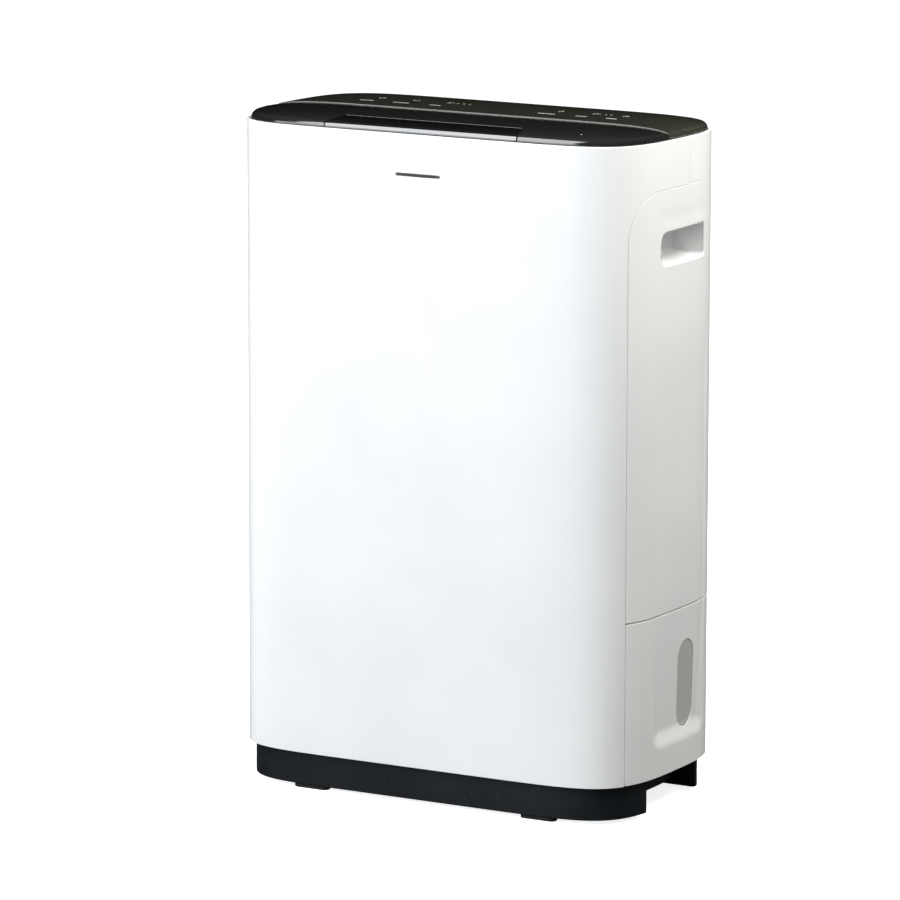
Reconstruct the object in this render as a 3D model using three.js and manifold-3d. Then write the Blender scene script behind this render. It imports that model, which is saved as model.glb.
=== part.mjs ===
// Upright compressor dehumidifier: casing, air path, cooling circuit, water tank and fasteners.
// Millimetres, +Z up. The floor is z = 0, the origin is under the middle of the casing, the front
// faces -Y, the air goes in at the back (+Y) and out through the flap in the front edge of the cap.
import * as THREE from "three";
import { mergeVertices } from "three/addons/utils/BufferGeometryUtils.js";
import Module from "manifold-3d";

const wasm = await Module();
wasm.setup();

// ---------------------------------------------------------------- driving dimensions
const GAP = 0.4; // between neighbouring pieces
const WALL = 3; // casing wall

// Plan of the casing: |x / (WIDTH / 2)| ^ END_POWER + |y / (DEPTH / 2)| ^ FACE_POWER = 1
const WIDTH = 400;
const DEPTH = 214;
const END_POWER = 7.7;
const FACE_POWER = 3.3;
const PLAN_POINTS = 52;

// Heights
const PAD_HEIGHT = 4;
const BASE_TOP = 33.6;
const SHELL_BOTTOM = 34;
const TANK_TOP = 177.4;
const SHELF_BOTTOM = 182;
const SHELF_TOP = 186;
const RIM_HEIGHT = 594; // top edge of the casing at the very front
const TOP_LEAN = 0.014; // the rim falls this much per millimetre towards the back

// Domed cap
const CAP_INSET = 3;
const CAP_LIP = 2; // upright edge above the rim
const CAP_RISE = 8; // dome above the lip
const CAP_POWER = 2.2; // how square the dome's shoulder is
const CAP_SEAM_Y = -16; // between lid and control panel
const SKIRT_BOTTOM = 580;

// Front shell against rear shell and tank, seen from the end
const SEAM_Y = -77;
const SPLIT_Y = 16.5;
const ARCH_CENTRE = [-37, 510];
const ARCH_RADII = [40, 40.3];

// Handle recess, in y and z, rounder at its front end than at its back
const HANDLE = { y: [-34.5, 48], z: [484, 513.2], front: 10, back: 4, floorX: 168.5 };

// Outlet flap, a trapezoid in plan
const FLAP = { rearY: -79.7, rearHalf: 88, frontHalf: 98, frontY: -112 };
const FLAP_AXIS_Y = -81;
const FLAP_PIN_RADIUS = 0.9;

// Status light bar
const LENS = { half: 21.5, z: [556.9, 559.9] };

// Tank, its scooped grips and its windows
const TANK_WALL = 2.8;
const TANK_FRONT_Y = SEAM_Y + 0.6;
const SCOOP_Y = [-42, 66];
const CHANNEL = { y: [-43, 60], top: 425, depth: 1.6 };
const WINDOW = { y: [6, 36], z: [70.4, 147.2] };
const DRIP_XY = [100, 58];
const FLOAT_AXIS = [-65, 163]; // y, z

// Rear intake grille and the filter behind it
const INTAKE = { half: 138, z: [225, 470] };
const GRILLE_ROWS = 11;
const GRILLE_COLUMNS = 3;

// Fan and scroll; the fan turns about a line along Y
const FAN = { x: 30, z: 330, radius: 80, y: [-92, -45.5] };
const BLADES = 26;
const SCROLL = { y: [-98, -38], wall: 2.5, start: 88, growth: 30, top: 470 };
const SCROLL_SPLIT_Y = -68;
const OUTLET_X = [-88, 85];
const DUCT_MOUTH = { half: 84.5, y: [-96.5, -80.5], z: [560, 586] };

// Cooling circuit
const COIL_X = [-58, 142];
const COIL_Z = [190, 440];
const COMPRESSOR = { x: -128, y: 18, radius: 50 };
const ACCUMULATOR = { x: -58, y: 0, radius: 15 };

// Drain spout and cord gland in the back wall; centres in x and z
const SPOUT = { centre: [-100, 201], radius: 9, bore: 5.5 };
const GLAND = { centre: [105, 203], radius: 8, bore: 4 };

// Fasteners and feet
const REAR_SCREW_X = 158;
const REAR_SCREW_Z = [192, 572];
const BASE_SCREW_Y = -88;
const BASE_SCREW_X = [-140, -60, 60, 140];
const PAD = { x: 114.5, length: 34, width: 13, y: [-93, 90] };

// ---------------------------------------------------------------- solids from three.js geometry
function toSolid(geometry) {
  const bare = geometry.clone();
  bare.deleteAttribute("normal");
  bare.deleteAttribute("uv");
  const merged = mergeVertices(bare, 1e-4);
  const mesh = new wasm.Mesh({
    numProp: 3,
    vertProperties: Float32Array.from(merged.attributes.position.array),
    triVerts: Uint32Array.from(merged.index.array),
  });
  return new wasm.Manifold(mesh);
}

function toGeometry(solid) {
  const mesh = solid.getMesh();
  const geometry = new THREE.BufferGeometry();
  geometry.setAttribute("position", new THREE.BufferAttribute(mesh.vertProperties, 3));
  geometry.setIndex(new THREE.BufferAttribute(mesh.triVerts, 1));
  geometry.computeVertexNormals();
  return geometry;
}

function join(...solids) {
  return solids.reduce((whole, next) => whole.add(next));
}

function extrude(points, depth, placement) {
  const shape = new THREE.Shape(points.map(([u, v]) => new THREE.Vector2(u, v)));
  const geometry = new THREE.ExtrudeGeometry(shape, { depth, bevelEnabled: false, steps: 1 });
  geometry.applyMatrix4(placement);
  return toSolid(geometry);
}

// Prisms: the outline is given in the two axes across the named one
function prismZ(pointsXY, low, high) {
  return extrude(pointsXY, high - low, new THREE.Matrix4().makeTranslation(0, 0, low));
}

function prismX(pointsYZ, low, high) {
  const turn = new THREE.Matrix4().set(0, 0, 1, low, 1, 0, 0, 0, 0, 1, 0, 0, 0, 0, 0, 1);
  return extrude(pointsYZ, high - low, turn);
}

function prismY(pointsXZ, low, high) {
  const turn = new THREE.Matrix4().set(1, 0, 0, 0, 0, 0, -1, high, 0, 1, 0, 0, 0, 0, 0, 1);
  return extrude(pointsXZ, high - low, turn);
}

function box([x0, x1], [y0, y1], [z0, z1]) {
  const geometry = new THREE.BoxGeometry(x1 - x0, y1 - y0, z1 - z0);
  geometry.translate((x0 + x1) / 2, (y0 + y1) / 2, (z0 + z1) / 2);
  return toSolid(geometry);
}

// A round bar along an axis; centre is given in the two other axes, in X, Y, Z order
function bar(axis, radius, [u, v], [low, high], sides = 20) {
  const geometry = new THREE.CylinderGeometry(radius, radius, high - low, sides);
  geometry.translate(0, (low + high) / 2, 0);
  if (axis === "x") {
    geometry.rotateZ(-Math.PI / 2);
    geometry.translate(0, u, v);
  } else if (axis === "z") {
    geometry.rotateX(Math.PI / 2);
    geometry.translate(u, v, 0);
  } else {
    geometry.translate(u, 0, v);
  }
  return toSolid(geometry);
}

// A closed skin over rings of points, lowest ring first, each counter-clockwise from above
function loft(rings) {
  const count = rings[0].length;
  const top = (rings.length - 1) * count;
  const index = [];
  for (let level = 0; level + 1 < rings.length; level += 1) {
    for (let i = 0; i < count; i += 1) {
      const a = level * count + i;
      const b = level * count + ((i + 1) % count);
      index.push(a, b, b + count, a, b + count, a + count);
    }
  }
  for (let i = 1; i + 1 < count; i += 1) {
    index.push(0, i + 1, i, top, top + i, top + i + 1);
  }
  const geometry = new THREE.BufferGeometry();
  geometry.setAttribute("position", new THREE.Float32BufferAttribute(rings.flat(2), 3));
  geometry.setIndex(index);
  return toSolid(geometry);
}

// A round pipe along a smooth curve through the points
function pipe(points, radius, steps = 20) {
  const arcSegments = 4;
  const section = new THREE.Shape();
  section.absarc(0, 0, radius, 0, 2 * Math.PI);
  const path = new THREE.CatmullRomCurve3(points.map((point) => new THREE.Vector3(...point)));
  const options = { steps, curveSegments: arcSegments, extrudePath: path };
  return toSolid(new THREE.ExtrudeGeometry(section, options));
}

// The corners on the far side in u can have their own radius
function roundedRectangle([u0, u1], [v0, v1], radius, steps = 4, farRadius = radius) {
  const corners = [
    [u1 - farRadius, v0 + farRadius, farRadius, -90],
    [u1 - farRadius, v1 - farRadius, farRadius, 0],
    [u0 + radius, v1 - radius, radius, 90],
    [u0 + radius, v0 + radius, radius, 180],
  ];
  const points = [];
  for (const [u, v, bend, start] of corners) {
    for (let i = 0; i <= steps; i += 1) {
      const angle = THREE.MathUtils.degToRad(start + (90 * i) / steps);
      points.push([u + bend * Math.cos(angle), v + bend * Math.sin(angle)]);
    }
  }
  return points;
}

const grow = ([low, high], by) => [low - by, high + by];
const mirrorX = (points) => points.map(([x, ...rest]) => [-x, ...rest]);

// ---------------------------------------------------------------- the casing's own curves
function signedPower(value, power) {
  return Math.sign(value) * Math.abs(value) ** power;
}

// Casing outline moved inwards; shrink scales it along the same family of curves
function outline(inset, shrink = 1) {
  const points = [];
  for (let i = 0; i < PLAN_POINTS; i += 1) {
    const angle = (2 * Math.PI * i) / PLAN_POINTS;
    const x = (WIDTH / 2 - inset) * shrink ** (1 / END_POWER);
    const y = (DEPTH / 2 - inset) * shrink ** (1 / FACE_POWER);
    points.push([
      x * signedPower(Math.cos(angle), 2 / END_POWER),
      y * signedPower(Math.sin(angle), 2 / FACE_POWER),
    ]);
  }
  return points;
}

function band(outer, inner, low, high) {
  return prismZ(outline(outer), low, high).subtract(prismZ(outline(inner), low - 1, high + 1));
}

const rimAt = (y) => RIM_HEIGHT - TOP_LEAN * (y + DEPTH / 2);

function domeAt(x, y, inset) {
  const radial =
    Math.abs(x / (WIDTH / 2 - inset)) ** END_POWER + Math.abs(y / (DEPTH / 2 - inset)) ** FACE_POWER;
  return rimAt(y) + CAP_LIP + CAP_RISE * (1 - Math.min(radial, 1)) ** (1 / CAP_POWER);
}

// The dome filled down to a flat bottom
function dome(inset, drop, bottom) {
  const rings = [outline(inset).map(([x, y]) => [x, y, bottom])];
  for (const shrink of [1, 0.9, 0.72, 0.45, 0.15]) {
    const rise = CAP_LIP - drop + CAP_RISE * (1 - shrink) ** (1 / CAP_POWER);
    rings.push(outline(inset, shrink).map(([x, y]) => [x, y, rimAt(y) + rise]));
  }
  return loft(rings);
}

// Everything above the sloping rim plane, raised by a gap
function aboveRim(raise) {
  const edges = [-DEPTH, DEPTH];
  const [front, back] = edges.map((y) => [y, rimAt(y) + raise]);
  return prismX([front, back, [DEPTH, 700], [-DEPTH, 700]], -WIDTH, WIDTH);
}

// Edge of the rear shell seen from the end, from the seam up and over the arch to the rim
function archEdge(offset) {
  const [centreY, centreZ] = ARCH_CENTRE;
  const points = [];
  for (let i = 0; i <= 8; i += 1) {
    const angle = THREE.MathUtils.degToRad(180 - (90 * i) / 8);
    points.push([
      centreY + (ARCH_RADII[0] - offset) * Math.cos(angle),
      centreZ + (ARCH_RADII[1] - offset) * Math.sin(angle),
    ]);
  }
  points.push([SPLIT_Y + offset, centreZ + ARCH_RADII[1] - offset]);
  points.push([SPLIT_Y + offset, rimAt(SPLIT_Y)]);
  return points;
}

// ---------------------------------------------------------------- casing pieces
function lensBar(extra, spanY) {
  return box([-LENS.half - extra, LENS.half + extra], spanY, grow(LENS.z, extra));
}

function frontShell() {
  const front = -DEPTH;
  const profile = [
    [front, SHELL_BOTTOM],
    [SEAM_Y, SHELL_BOTTOM],
    ...archEdge(0),
    [front, rimAt(front)],
  ];
  const wall = band(0, WALL, SHELL_BOTTOM, 620).intersect(prismX(profile, -WIDTH, WIDTH));
  return wall.subtract(lensBar(GAP, [-DEPTH, -100]));
}

function handleRecess(side, extra, depthExtra, reach) {
  const outlinePoints = roundedRectangle(
    grow(HANDLE.y, extra),
    grow(HANDLE.z, extra),
    HANDLE.front + extra,
    4,
    HANDLE.back + extra,
  );
  const inner = HANDLE.floorX - depthExtra;
  const span = side > 0 ? [inner, reach] : [-reach, -inner];
  return prismX(outlinePoints, ...span);
}

function rearShell() {
  const back = DEPTH;
  const bottom = TANK_TOP + 0.9;
  const profile = [
    [SEAM_Y + GAP, bottom],
    ...archEdge(GAP),
    [back, rimAt(back)],
    [back, bottom],
  ];
  const filled = prismZ(outline(0), SHELL_BOTTOM, 620);
  let shell = band(0, WALL, SHELL_BOTTOM, 620);
  for (const side of [-1, 1]) {
    shell = shell.add(handleRecess(side, WALL, WALL, WIDTH).intersect(filled));
  }
  shell = shell.intersect(prismX([...profile].reverse(), -WIDTH, WIDTH));
  for (const side of [-1, 1]) {
    shell = shell.subtract(handleRecess(side, 0, 0, WIDTH));
  }
  const channelBox = box([-WIDTH, WIDTH], CHANNEL.y, [bottom - 1, CHANNEL.top]);
  shell = shell.subtract(band(-1, CHANNEL.depth, bottom - 1, CHANNEL.top).intersect(channelBox));
  shell = shell.subtract(box([-INTAKE.half, INTAKE.half], [60, DEPTH], INTAKE.z));
  shell = shell.subtract(bar("y", SPOUT.radius + 0.5, SPOUT.centre, [60, DEPTH]));
  shell = shell.subtract(bar("y", GLAND.radius + GAP, GLAND.centre, [60, DEPTH]));
  for (const x of [-REAR_SCREW_X, REAR_SCREW_X]) {
    for (const z of REAR_SCREW_Z) {
      shell = shell.subtract(bar("y", 2.4, [x, z], [60, DEPTH], 12));
      shell = shell.subtract(bar("y", 4.3, [x, z], [99.2, DEPTH], 16));
    }
  }
  return shell;
}

function base() {
  const plateBottom = 28;
  const lower = PAD_HEIGHT;
  const front = box([-WIDTH, WIDTH], [-DEPTH, -42], [0, 100]);
  const rear = box([-WIDTH, WIDTH], [62, DEPTH], [0, 100]);
  const wide = prismZ(outline(5), plateBottom, BASE_TOP);
  const plate = prismZ(outline(25), plateBottom, BASE_TOP);
  const plateRim = band(25, 29, 14, plateBottom + 1);
  const frontSkirt = band(5, 10, lower, plateBottom + 1).intersect(front);
  const rearSkirt = band(12, 17, lower, plateBottom + 1).intersect(rear);
  const rearWide = prismZ(outline(12), plateBottom, BASE_TOP).intersect(rear);
  const rearFootFront = box([-180, 180], [62, 67], [lower, plateBottom + 1]);
  let whole = join(
    wide.intersect(front), plate, plateRim, frontSkirt, rearSkirt, rearWide, rearFootFront,
  );
  for (const x of [-PAD.x, PAD.x]) {
    for (const y of PAD.y) {
      const seat = box(
        grow([x, x], PAD.length / 2 + 2),
        grow([y, y], PAD.width / 2),
        [lower, plateBottom + 1],
      );
      whole = whole.add(seat);
    }
  }
  for (const x of BASE_SCREW_X) {
    whole = whole.subtract(bar("z", 2.5, [x, BASE_SCREW_Y], [20, 50], 12));
  }
  return whole;
}

function footPad() {
  const half = [-PAD.length / 2, PAD.length / 2];
  const width = [-PAD.width / 2 + 1, PAD.width / 2 - 1];
  return prismZ(roundedRectangle(half, width, 4.5, 3), 0, PAD_HEIGHT - 0.3);
}

function chassis() {
  const front = SEAM_Y - 5.4;
  const wallY = [front, front + 3];
  const flange = box([-150, 150], [-98.6, wallY[1]], [SHELL_BOTTOM, 38]);
  const wall = box([-180, 180], wallY, [SHELL_BOTTOM, SHELF_TOP]);
  const keep = box([-WIDTH, WIDTH], [front, DEPTH], [0, 300]);
  let whole = join(flange, wall, prismZ(outline(4.2), SHELF_BOTTOM, SHELF_TOP).intersect(keep));
  for (const x of BASE_SCREW_X) {
    whole = whole.add(bar("z", 5, [x, BASE_SCREW_Y], [37, 48], 16));
    whole = whole.subtract(bar("z", 2.3, [x, BASE_SCREW_Y], [30, 45], 12));
  }
  for (const x of [-REAR_SCREW_X, REAR_SCREW_X]) {
    whole = whole.add(box(grow([x, x], 7), [84, 92.5], [SHELF_TOP - 1, SHELF_TOP + 13]));
    whole = whole.subtract(bar("y", 2.2, [x, REAR_SCREW_Z[0]], [84.6, 99], 12));
  }
  return whole.subtract(bar("z", 8, DRIP_XY, [170, 200]));
}

// ---------------------------------------------------------------- cap: lid, control panel, flap
function capShell() {
  return dome(CAP_INSET, 0, 560)
    .intersect(aboveRim(GAP))
    .subtract(dome(CAP_INSET + WALL, WALL, 560));
}

function capSkirt() {
  const collar = band(3.6, 6.2, SKIRT_BOTTOM, 620);
  return collar.intersect(dome(CAP_INSET, 0.6, 560));
}

function flapOutline(extra) {
  const half = [FLAP.rearHalf + extra, FLAP.frontHalf + extra];
  const rearY = FLAP.rearY + 2 * extra;
  return [[-half[1], FLAP.frontY], [half[1], FLAP.frontY], [half[0], rearY], [-half[0], rearY]];
}

const flapAxisZ = domeAt(0, FLAP_AXIS_Y, CAP_INSET) - WALL / 2;

function topLid() {
  const half = box([-WIDTH, WIDTH], [-DEPTH, CAP_SEAM_Y - GAP / 2], [500, 700]);
  const opening = prismZ(flapOutline(GAP), 500, 700).intersect(aboveRim(-0.2));
  const pinHoles = bar("x", FLAP_PIN_RADIUS + GAP, [FLAP_AXIS_Y, flapAxisZ], [-92, 92], 12);
  return capShell().add(capSkirt()).intersect(half).subtract(opening).subtract(pinHoles);
}

function outletFlap() {
  const leaf = capShell().intersect(prismZ(flapOutline(0), 500, 700));
  const pins = bar("x", FLAP_PIN_RADIUS, [FLAP_AXIS_Y, flapAxisZ], [-91, 91], 12);
  return leaf.add(pins);
}

function controlPanel() {
  const half = box([-WIDTH, WIDTH], [CAP_SEAM_Y + GAP / 2, DEPTH], [500, 700]);
  let panel = capShell().add(capSkirt()).intersect(half);
  for (const x of [-REAR_SCREW_X, REAR_SCREW_X]) {
    panel = panel.add(box(grow([x, x], 7), [84, 94.8], [562, 590]));
    panel = panel.subtract(bar("y", 2.2, [x, REAR_SCREW_Z[1]], [84.6, 99], 12));
  }
  return panel;
}

// ---------------------------------------------------------------- air path
function intakeGrille() {
  const inside = { half: INTAKE.half - GAP, z: grow(INTAKE.z, -GAP) };
  const sheet = band(0, WALL, 200, 500);
  let grille = sheet.intersect(box([-inside.half, inside.half], [60, DEPTH], inside.z));
  const margin = 8;
  const rib = 5;
  const cellX = (2 * inside.half - margin) / GRILLE_COLUMNS;
  const cellZ = (inside.z[1] - inside.z[0] - margin) / GRILLE_ROWS;
  for (let row = 0; row < GRILLE_ROWS; row += 1) {
    for (let column = 0; column < GRILLE_COLUMNS; column += 1) {
      const x = -inside.half + margin / 2 + column * cellX;
      const z = inside.z[0] + margin / 2 + row * cellZ;
      const slot = box([x + rib, x + cellX - rib], [60, DEPTH], [z + rib, z + cellZ - rib]);
      grille = grille.subtract(slot);
    }
  }
  return grille;
}

function airFilter() {
  const half = INTAKE.half - 4;
  const height = grow(INTAKE.z, -4);
  let filter = box([-half, half], [96, 101.4], height);
  const cells = 4;
  const cellX = (2 * half - 6) / cells;
  for (let i = 0; i < cells; i += 1) {
    const x = -half + 3 + i * cellX;
    filter = filter.subtract(box([x + 3, x + cellX - 3], [97, 110], grow(height, -6)));
  }
  return filter;
}

// Outline of the scroll in x and z: a spiral that opens clockwise into the upright outlet
function scrollOutline(extra, top) {
  const points = [];
  const sweep = 225;
  const steps = 18;
  for (let i = 0; i <= steps; i += 1) {
    const angle = THREE.MathUtils.degToRad(45 - (sweep * i) / steps);
    const radius = SCROLL.start + (SCROLL.growth * i) / steps + extra;
    points.push([FAN.x + radius * Math.cos(angle), FAN.z + radius * Math.sin(angle)]);
  }
  points.push([OUTLET_X[0] - extra, top], [OUTLET_X[1] + extra, top]);
  return points;
}

function scroll(spanY) {
  const wall = SCROLL.wall;
  const inner = grow(SCROLL.y, -wall);
  let housing = prismY(scrollOutline(wall, SCROLL.top), ...SCROLL.y);
  housing = housing.subtract(prismY(scrollOutline(0, SCROLL.top + 5), ...inner));
  const centre = [FAN.x, FAN.z];
  const rearWall = [SCROLL.y[1] - wall - 1, SCROLL.y[1] + 1];
  let inlet = bar("y", 60, centre, rearWall, 36).subtract(bar("y", 34, centre, rearWall, 24));
  for (const degrees of [90, 210, 330]) {
    const arm = new THREE.BoxGeometry(70, 10, 12);
    arm.translate(35, 0, 0);
    arm.rotateY(THREE.MathUtils.degToRad(degrees));
    arm.translate(FAN.x, SCROLL.y[1], FAN.z);
    inlet = inlet.subtract(toSolid(arm));
  }
  housing = housing.subtract(inlet).subtract(bar("y", 10, centre, rearWall));
  return housing.intersect(box([-WIDTH, WIDTH], spanY, [0, 600]));
}

function outletDuct() {
  const mouthX = [-DUCT_MOUTH.half, DUCT_MOUTH.half];
  const rings = (extra) => {
    const levels = [
      [SCROLL.top + GAP, OUTLET_X, grow(SCROLL.y, -SCROLL.wall)],
      [DUCT_MOUTH.z[0], mouthX, DUCT_MOUTH.y],
      [DUCT_MOUTH.z[1], mouthX, DUCT_MOUTH.y],
    ];
    return levels.map(([z, spanX, spanY]) => {
      const [x0, x1] = grow(spanX, extra);
      const [y0, y1] = grow(spanY, extra);
      return [[x0, y0, z], [x1, y0, z], [x1, y1, z], [x0, y1, z]];
    });
  };
  const hollow = rings(0);
  hollow.unshift(hollow[0].map(([x, y, z]) => [x, y, z - 5]));
  hollow.push(hollow[3].map(([x, y, z]) => [x, y, z + 5]));
  return loft(rings(SCROLL.wall)).subtract(loft(hollow));
}

function outletGuard() {
  const half = DUCT_MOUTH.half - GAP;
  const height = [568, 571];
  const frame = 2;
  const bars = 12;
  const pitch = (2 * (half - frame)) / bars;
  let guard = box([-half, half], grow(DUCT_MOUTH.y, -GAP), height);
  for (let i = 0; i < bars; i += 1) {
    const x = -half + frame + i * pitch;
    const slot = box(grow([x, x + pitch], -1.2), grow(DUCT_MOUTH.y, -GAP - frame), grow(height, 1));
    guard = guard.subtract(slot);
  }
  return guard;
}

function fanWheel() {
  const [front, rear] = FAN.y;
  const centre = [0, 0];
  const rim = bar("y", FAN.radius, centre, [rear - 2.5, rear], 30)
    .subtract(bar("y", 66, centre, [rear - 5, rear + 5], 30));
  let wheel = join(
    bar("y", FAN.radius, centre, [front, front + 2], 30),
    bar("y", 12, centre, [front, -60], 20),
    rim,
  );
  for (let i = 0; i < BLADES; i += 1) {
    const blade = new THREE.BoxGeometry(14, rear - front - 2, 1.6);
    blade.rotateY(THREE.MathUtils.degToRad(35));
    blade.translate(72, (front + rear) / 2, 0);
    blade.rotateY((2 * Math.PI * i) / BLADES);
    wheel = wheel.add(toSolid(blade));
  }
  return wheel.subtract(bar("y", 4.4, centre, [front + 3, -50], 16));
}

function fanMotor() {
  const body = bar("y", 42, [0, 0], [-37.6, 2], 32);
  const rearBoss = bar("y", 18, [0, 0], [1, 8], 20);
  return body.add(rearBoss).subtract(bar("y", 4.6, [0, 0], [-40, 4], 16));
}

// ---------------------------------------------------------------- cooling circuit
function coil(spanY) {
  let block = box(COIL_X, spanY, COIL_Z);
  const fins = 16;
  const pitch = (COIL_X[1] - COIL_X[0]) / fins;
  for (let i = 0; i < fins; i += 1) {
    const x = COIL_X[0] + (i + 0.5) * pitch;
    for (const y of spanY) {
      block = block.subtract(box(grow([x, x], 2), grow([y, y], 3), grow(COIL_Z, -6)));
    }
  }
  return block;
}

function dripTray() {
  const x = [COIL_X[0] - 4, COIL_X[1] + 4];
  const y = [22, 94];
  const z = [SHELF_TOP + 0.6, 204];
  const spout = bar("z", 7, DRIP_XY, [179.5, 188]);
  const body = box(x, y, z).subtract(box(grow(x, -2), grow(y, -2), [z[0] + 2, 220]));
  return body.add(spout).subtract(bar("z", 4.5, DRIP_XY, [170, 200]));
}

function compressor() {
  const { radius } = COMPRESSOR;
  const profile = [
    [0, 206], [30, 207], [radius - 6, 214], [radius, 224],
    [radius, 384], [radius - 6, 394], [30, 401], [0, 402],
  ];
  const lathe = new THREE.LatheGeometry(profile.map(([r, z]) => new THREE.Vector2(r, z)), 28);
  lathe.rotateX(Math.PI / 2);
  const feet = prismZ(regularPolygon(3, 66, 90), 200, 207);
  return toSolid(lathe).add(feet);
}

function regularPolygon(sides, radius, startDegrees) {
  const points = [];
  for (let i = 0; i < sides; i += 1) {
    const angle = THREE.MathUtils.degToRad(startDegrees + (360 * i) / sides);
    points.push([radius * Math.cos(angle), radius * Math.sin(angle)]);
  }
  return points;
}

// ---------------------------------------------------------------- tank
// Floor of the grip scoop in x and z on the +X end: shallow at the top, deep above the lip
const SCOOP_FLOOR = [[198.4, 182], [195.2, 78], [195.4, 70], [197.4, 62], [203, 57.5]];

function scoopVoid(side, inward) {
  const floor = SCOOP_FLOOR.map(([x, z]) => [x - inward, z - inward]);
  const points = [...floor, [210, floor.at(-1)[1]], [210, 182]];
  return prismY(side > 0 ? points : mirrorX(points), ...grow(SCOOP_Y, inward));
}

function windowPlug(side, extra) {
  const radius = (WINDOW.y[1] - WINDOW.y[0]) / 2;
  const stadium = roundedRectangle(
    grow(WINDOW.y, extra),
    grow(WINDOW.z, extra),
    radius + extra - 0.01,
    6,
  );
  return prismX(stadium, ...(side > 0 ? [170, 210] : [-210, -170]));
}

function tank() {
  const keep = (extra) => box([-WIDTH, WIDTH], [TANK_FRONT_Y + extra, DEPTH], [0, 300]);
  const outer = prismZ(outline(0), SHELL_BOTTOM + 0.4, TANK_TOP).intersect(keep(0));
  const cavity = prismZ(outline(TANK_WALL), SHELL_BOTTOM + 3.4, 300).intersect(keep(TANK_WALL));
  const ledge = band(TANK_WALL - 1, 8, 170.5, 173.4)
    .intersect(box([-WIDTH, WIDTH], [-40, DEPTH], [0, 300]));
  let whole = outer.subtract(cavity).add(ledge);
  for (const side of [-1, 1]) {
    whole = whole.add(scoopVoid(side, TANK_WALL).intersect(outer));
    whole = whole.subtract(scoopVoid(side, 0));
    whole = whole.subtract(windowPlug(side, GAP));
  }
  return whole;
}

function tankWindow(side) {
  const sheet = scoopVoid(side, TANK_WALL).subtract(scoopVoid(side, 0));
  return sheet.intersect(windowPlug(side, 0));
}

function tankLid() {
  const keep = box([-WIDTH, WIDTH], [TANK_FRONT_Y + TANK_WALL + GAP, DEPTH], [0, 300]);
  let lid = prismZ(outline(5.4), 173.8, 176.6).intersect(keep);
  for (const x of [-80.5, -39.5]) {
    const ear = box(grow([x, x], 1.5), grow([FLOAT_AXIS[0], FLOAT_AXIS[0]], 5), [158, 175]);
    lid = lid.add(ear).subtract(bar("x", 2.6, FLOAT_AXIS, grow([x, x], 3), 12));
  }
  return lid.subtract(bar("z", 12, DRIP_XY, [160, 190]));
}

function tankFloat() {
  const [y, z] = FLOAT_AXIS;
  const trunnion = bar("x", 2, FLOAT_AXIS, [-84, -36], 12);
  const arm = prismX(
    [[y - 2, z + 1.5], [y - 2, z - 3], [y + 20, z - 15], [y + 32, z - 15], [y + 2, z + 1.5]],
    -63,
    -57,
  );
  const body = box([-76, -44], [y + 9, y + 45], [z - 36, z - 13]);
  return join(trunnion, arm, body);
}

// ---------------------------------------------------------------- small pieces and fasteners
function drainSpout() {
  const { centre, radius, bore } = SPOUT;
  return bar("y", radius, centre, [86, 104.4]).subtract(bar("y", bore, centre, [80, 110], 16));
}

function drainPlug() {
  const { centre, bore } = SPOUT;
  return bar("y", bore - 0.5, centre, [92, 105], 16).add(bar("y", 8, centre, [104.8, 106.6]));
}

function cordGland() {
  const { centre, radius, bore } = GLAND;
  const sleeve = bar("y", radius, centre, [99.6, 106.6]);
  const flange = bar("y", 11, centre, [99.6, 103.2]);
  return sleeve.add(flange).subtract(bar("y", bore, centre, [90, 110], 16));
}

function electronicsBox() {
  const x = [-155, -95];
  const y = [-40, 50];
  const body = box(x, y, [450, 520]);
  return body.subtract(box(grow(x, -2), grow(y, -2), [452, 530]));
}

function screw(axis, headRadius, headLength, shankRadius, shankLength) {
  const head = bar(axis, headRadius, [0, 0], [0, headLength], 14);
  return head.add(bar(axis, shankRadius, [0, 0], [-shankLength, 0.5], 10));
}

// ---------------------------------------------------------------- materials
function finish(color, roughness, metalness = 0) {
  return new THREE.MeshStandardMaterial({ color, roughness, metalness });
}

const white = finish(0xf0f0ec, 0.25);
const black = finish(0x1b1c1a, 0.2);
const charcoal = finish(0x2b3036, 0.5);
const greyPlastic = finish(0x8d8f8d, 0.6);
const rubber = finish(0x202224, 0.8);
const smoked = finish(0x9a9c96, 0.3);
const steel = finish(0x9aa0a5, 0.35, 1);
const aluminium = finish(0xc9ccce, 0.4, 1);
const copper = finish(0xb87345, 0.35, 1);
const enamel = finish(0x1d1f21, 0.4, 0.3);
const circuit = finish(0x1f6b45, 0.5);
const foam = finish(0xdcd8cc, 0.9);

// ---------------------------------------------------------------- assembly
const dehumidifier = new THREE.Group();

function subassembly(parent = dehumidifier, position = [0, 0, 0]) {
  const group = new THREE.Group();
  group.position.set(...position);
  parent.add(group);
  return group;
}

function place(group, name, solid, material, position = [0, 0, 0]) {
  const mesh = new THREE.Mesh(toGeometry(solid), material);
  mesh.name = name;
  mesh.position.set(...position);
  group.add(mesh);
}

const sides = [["left", -1], ["right", 1]];

const casing = subassembly();
place(casing, "base", base(), charcoal);
place(casing, "chassis", chassis(), greyPlastic);
place(casing, "front_shell", frontShell(), white);
place(casing, "rear_shell", rearShell(), white);
place(casing, "status_lens", lensBar(0, [-DEPTH / 2, -101.5]), smoked);
for (const [end, y] of [["front", PAD.y[0]], ["rear", PAD.y[1]]]) {
  for (const [side, sign] of sides) {
    place(casing, `foot_pad_${end}_${side}`, footPad(), rubber, [sign * PAD.x, y, 0]);
  }
}

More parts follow.
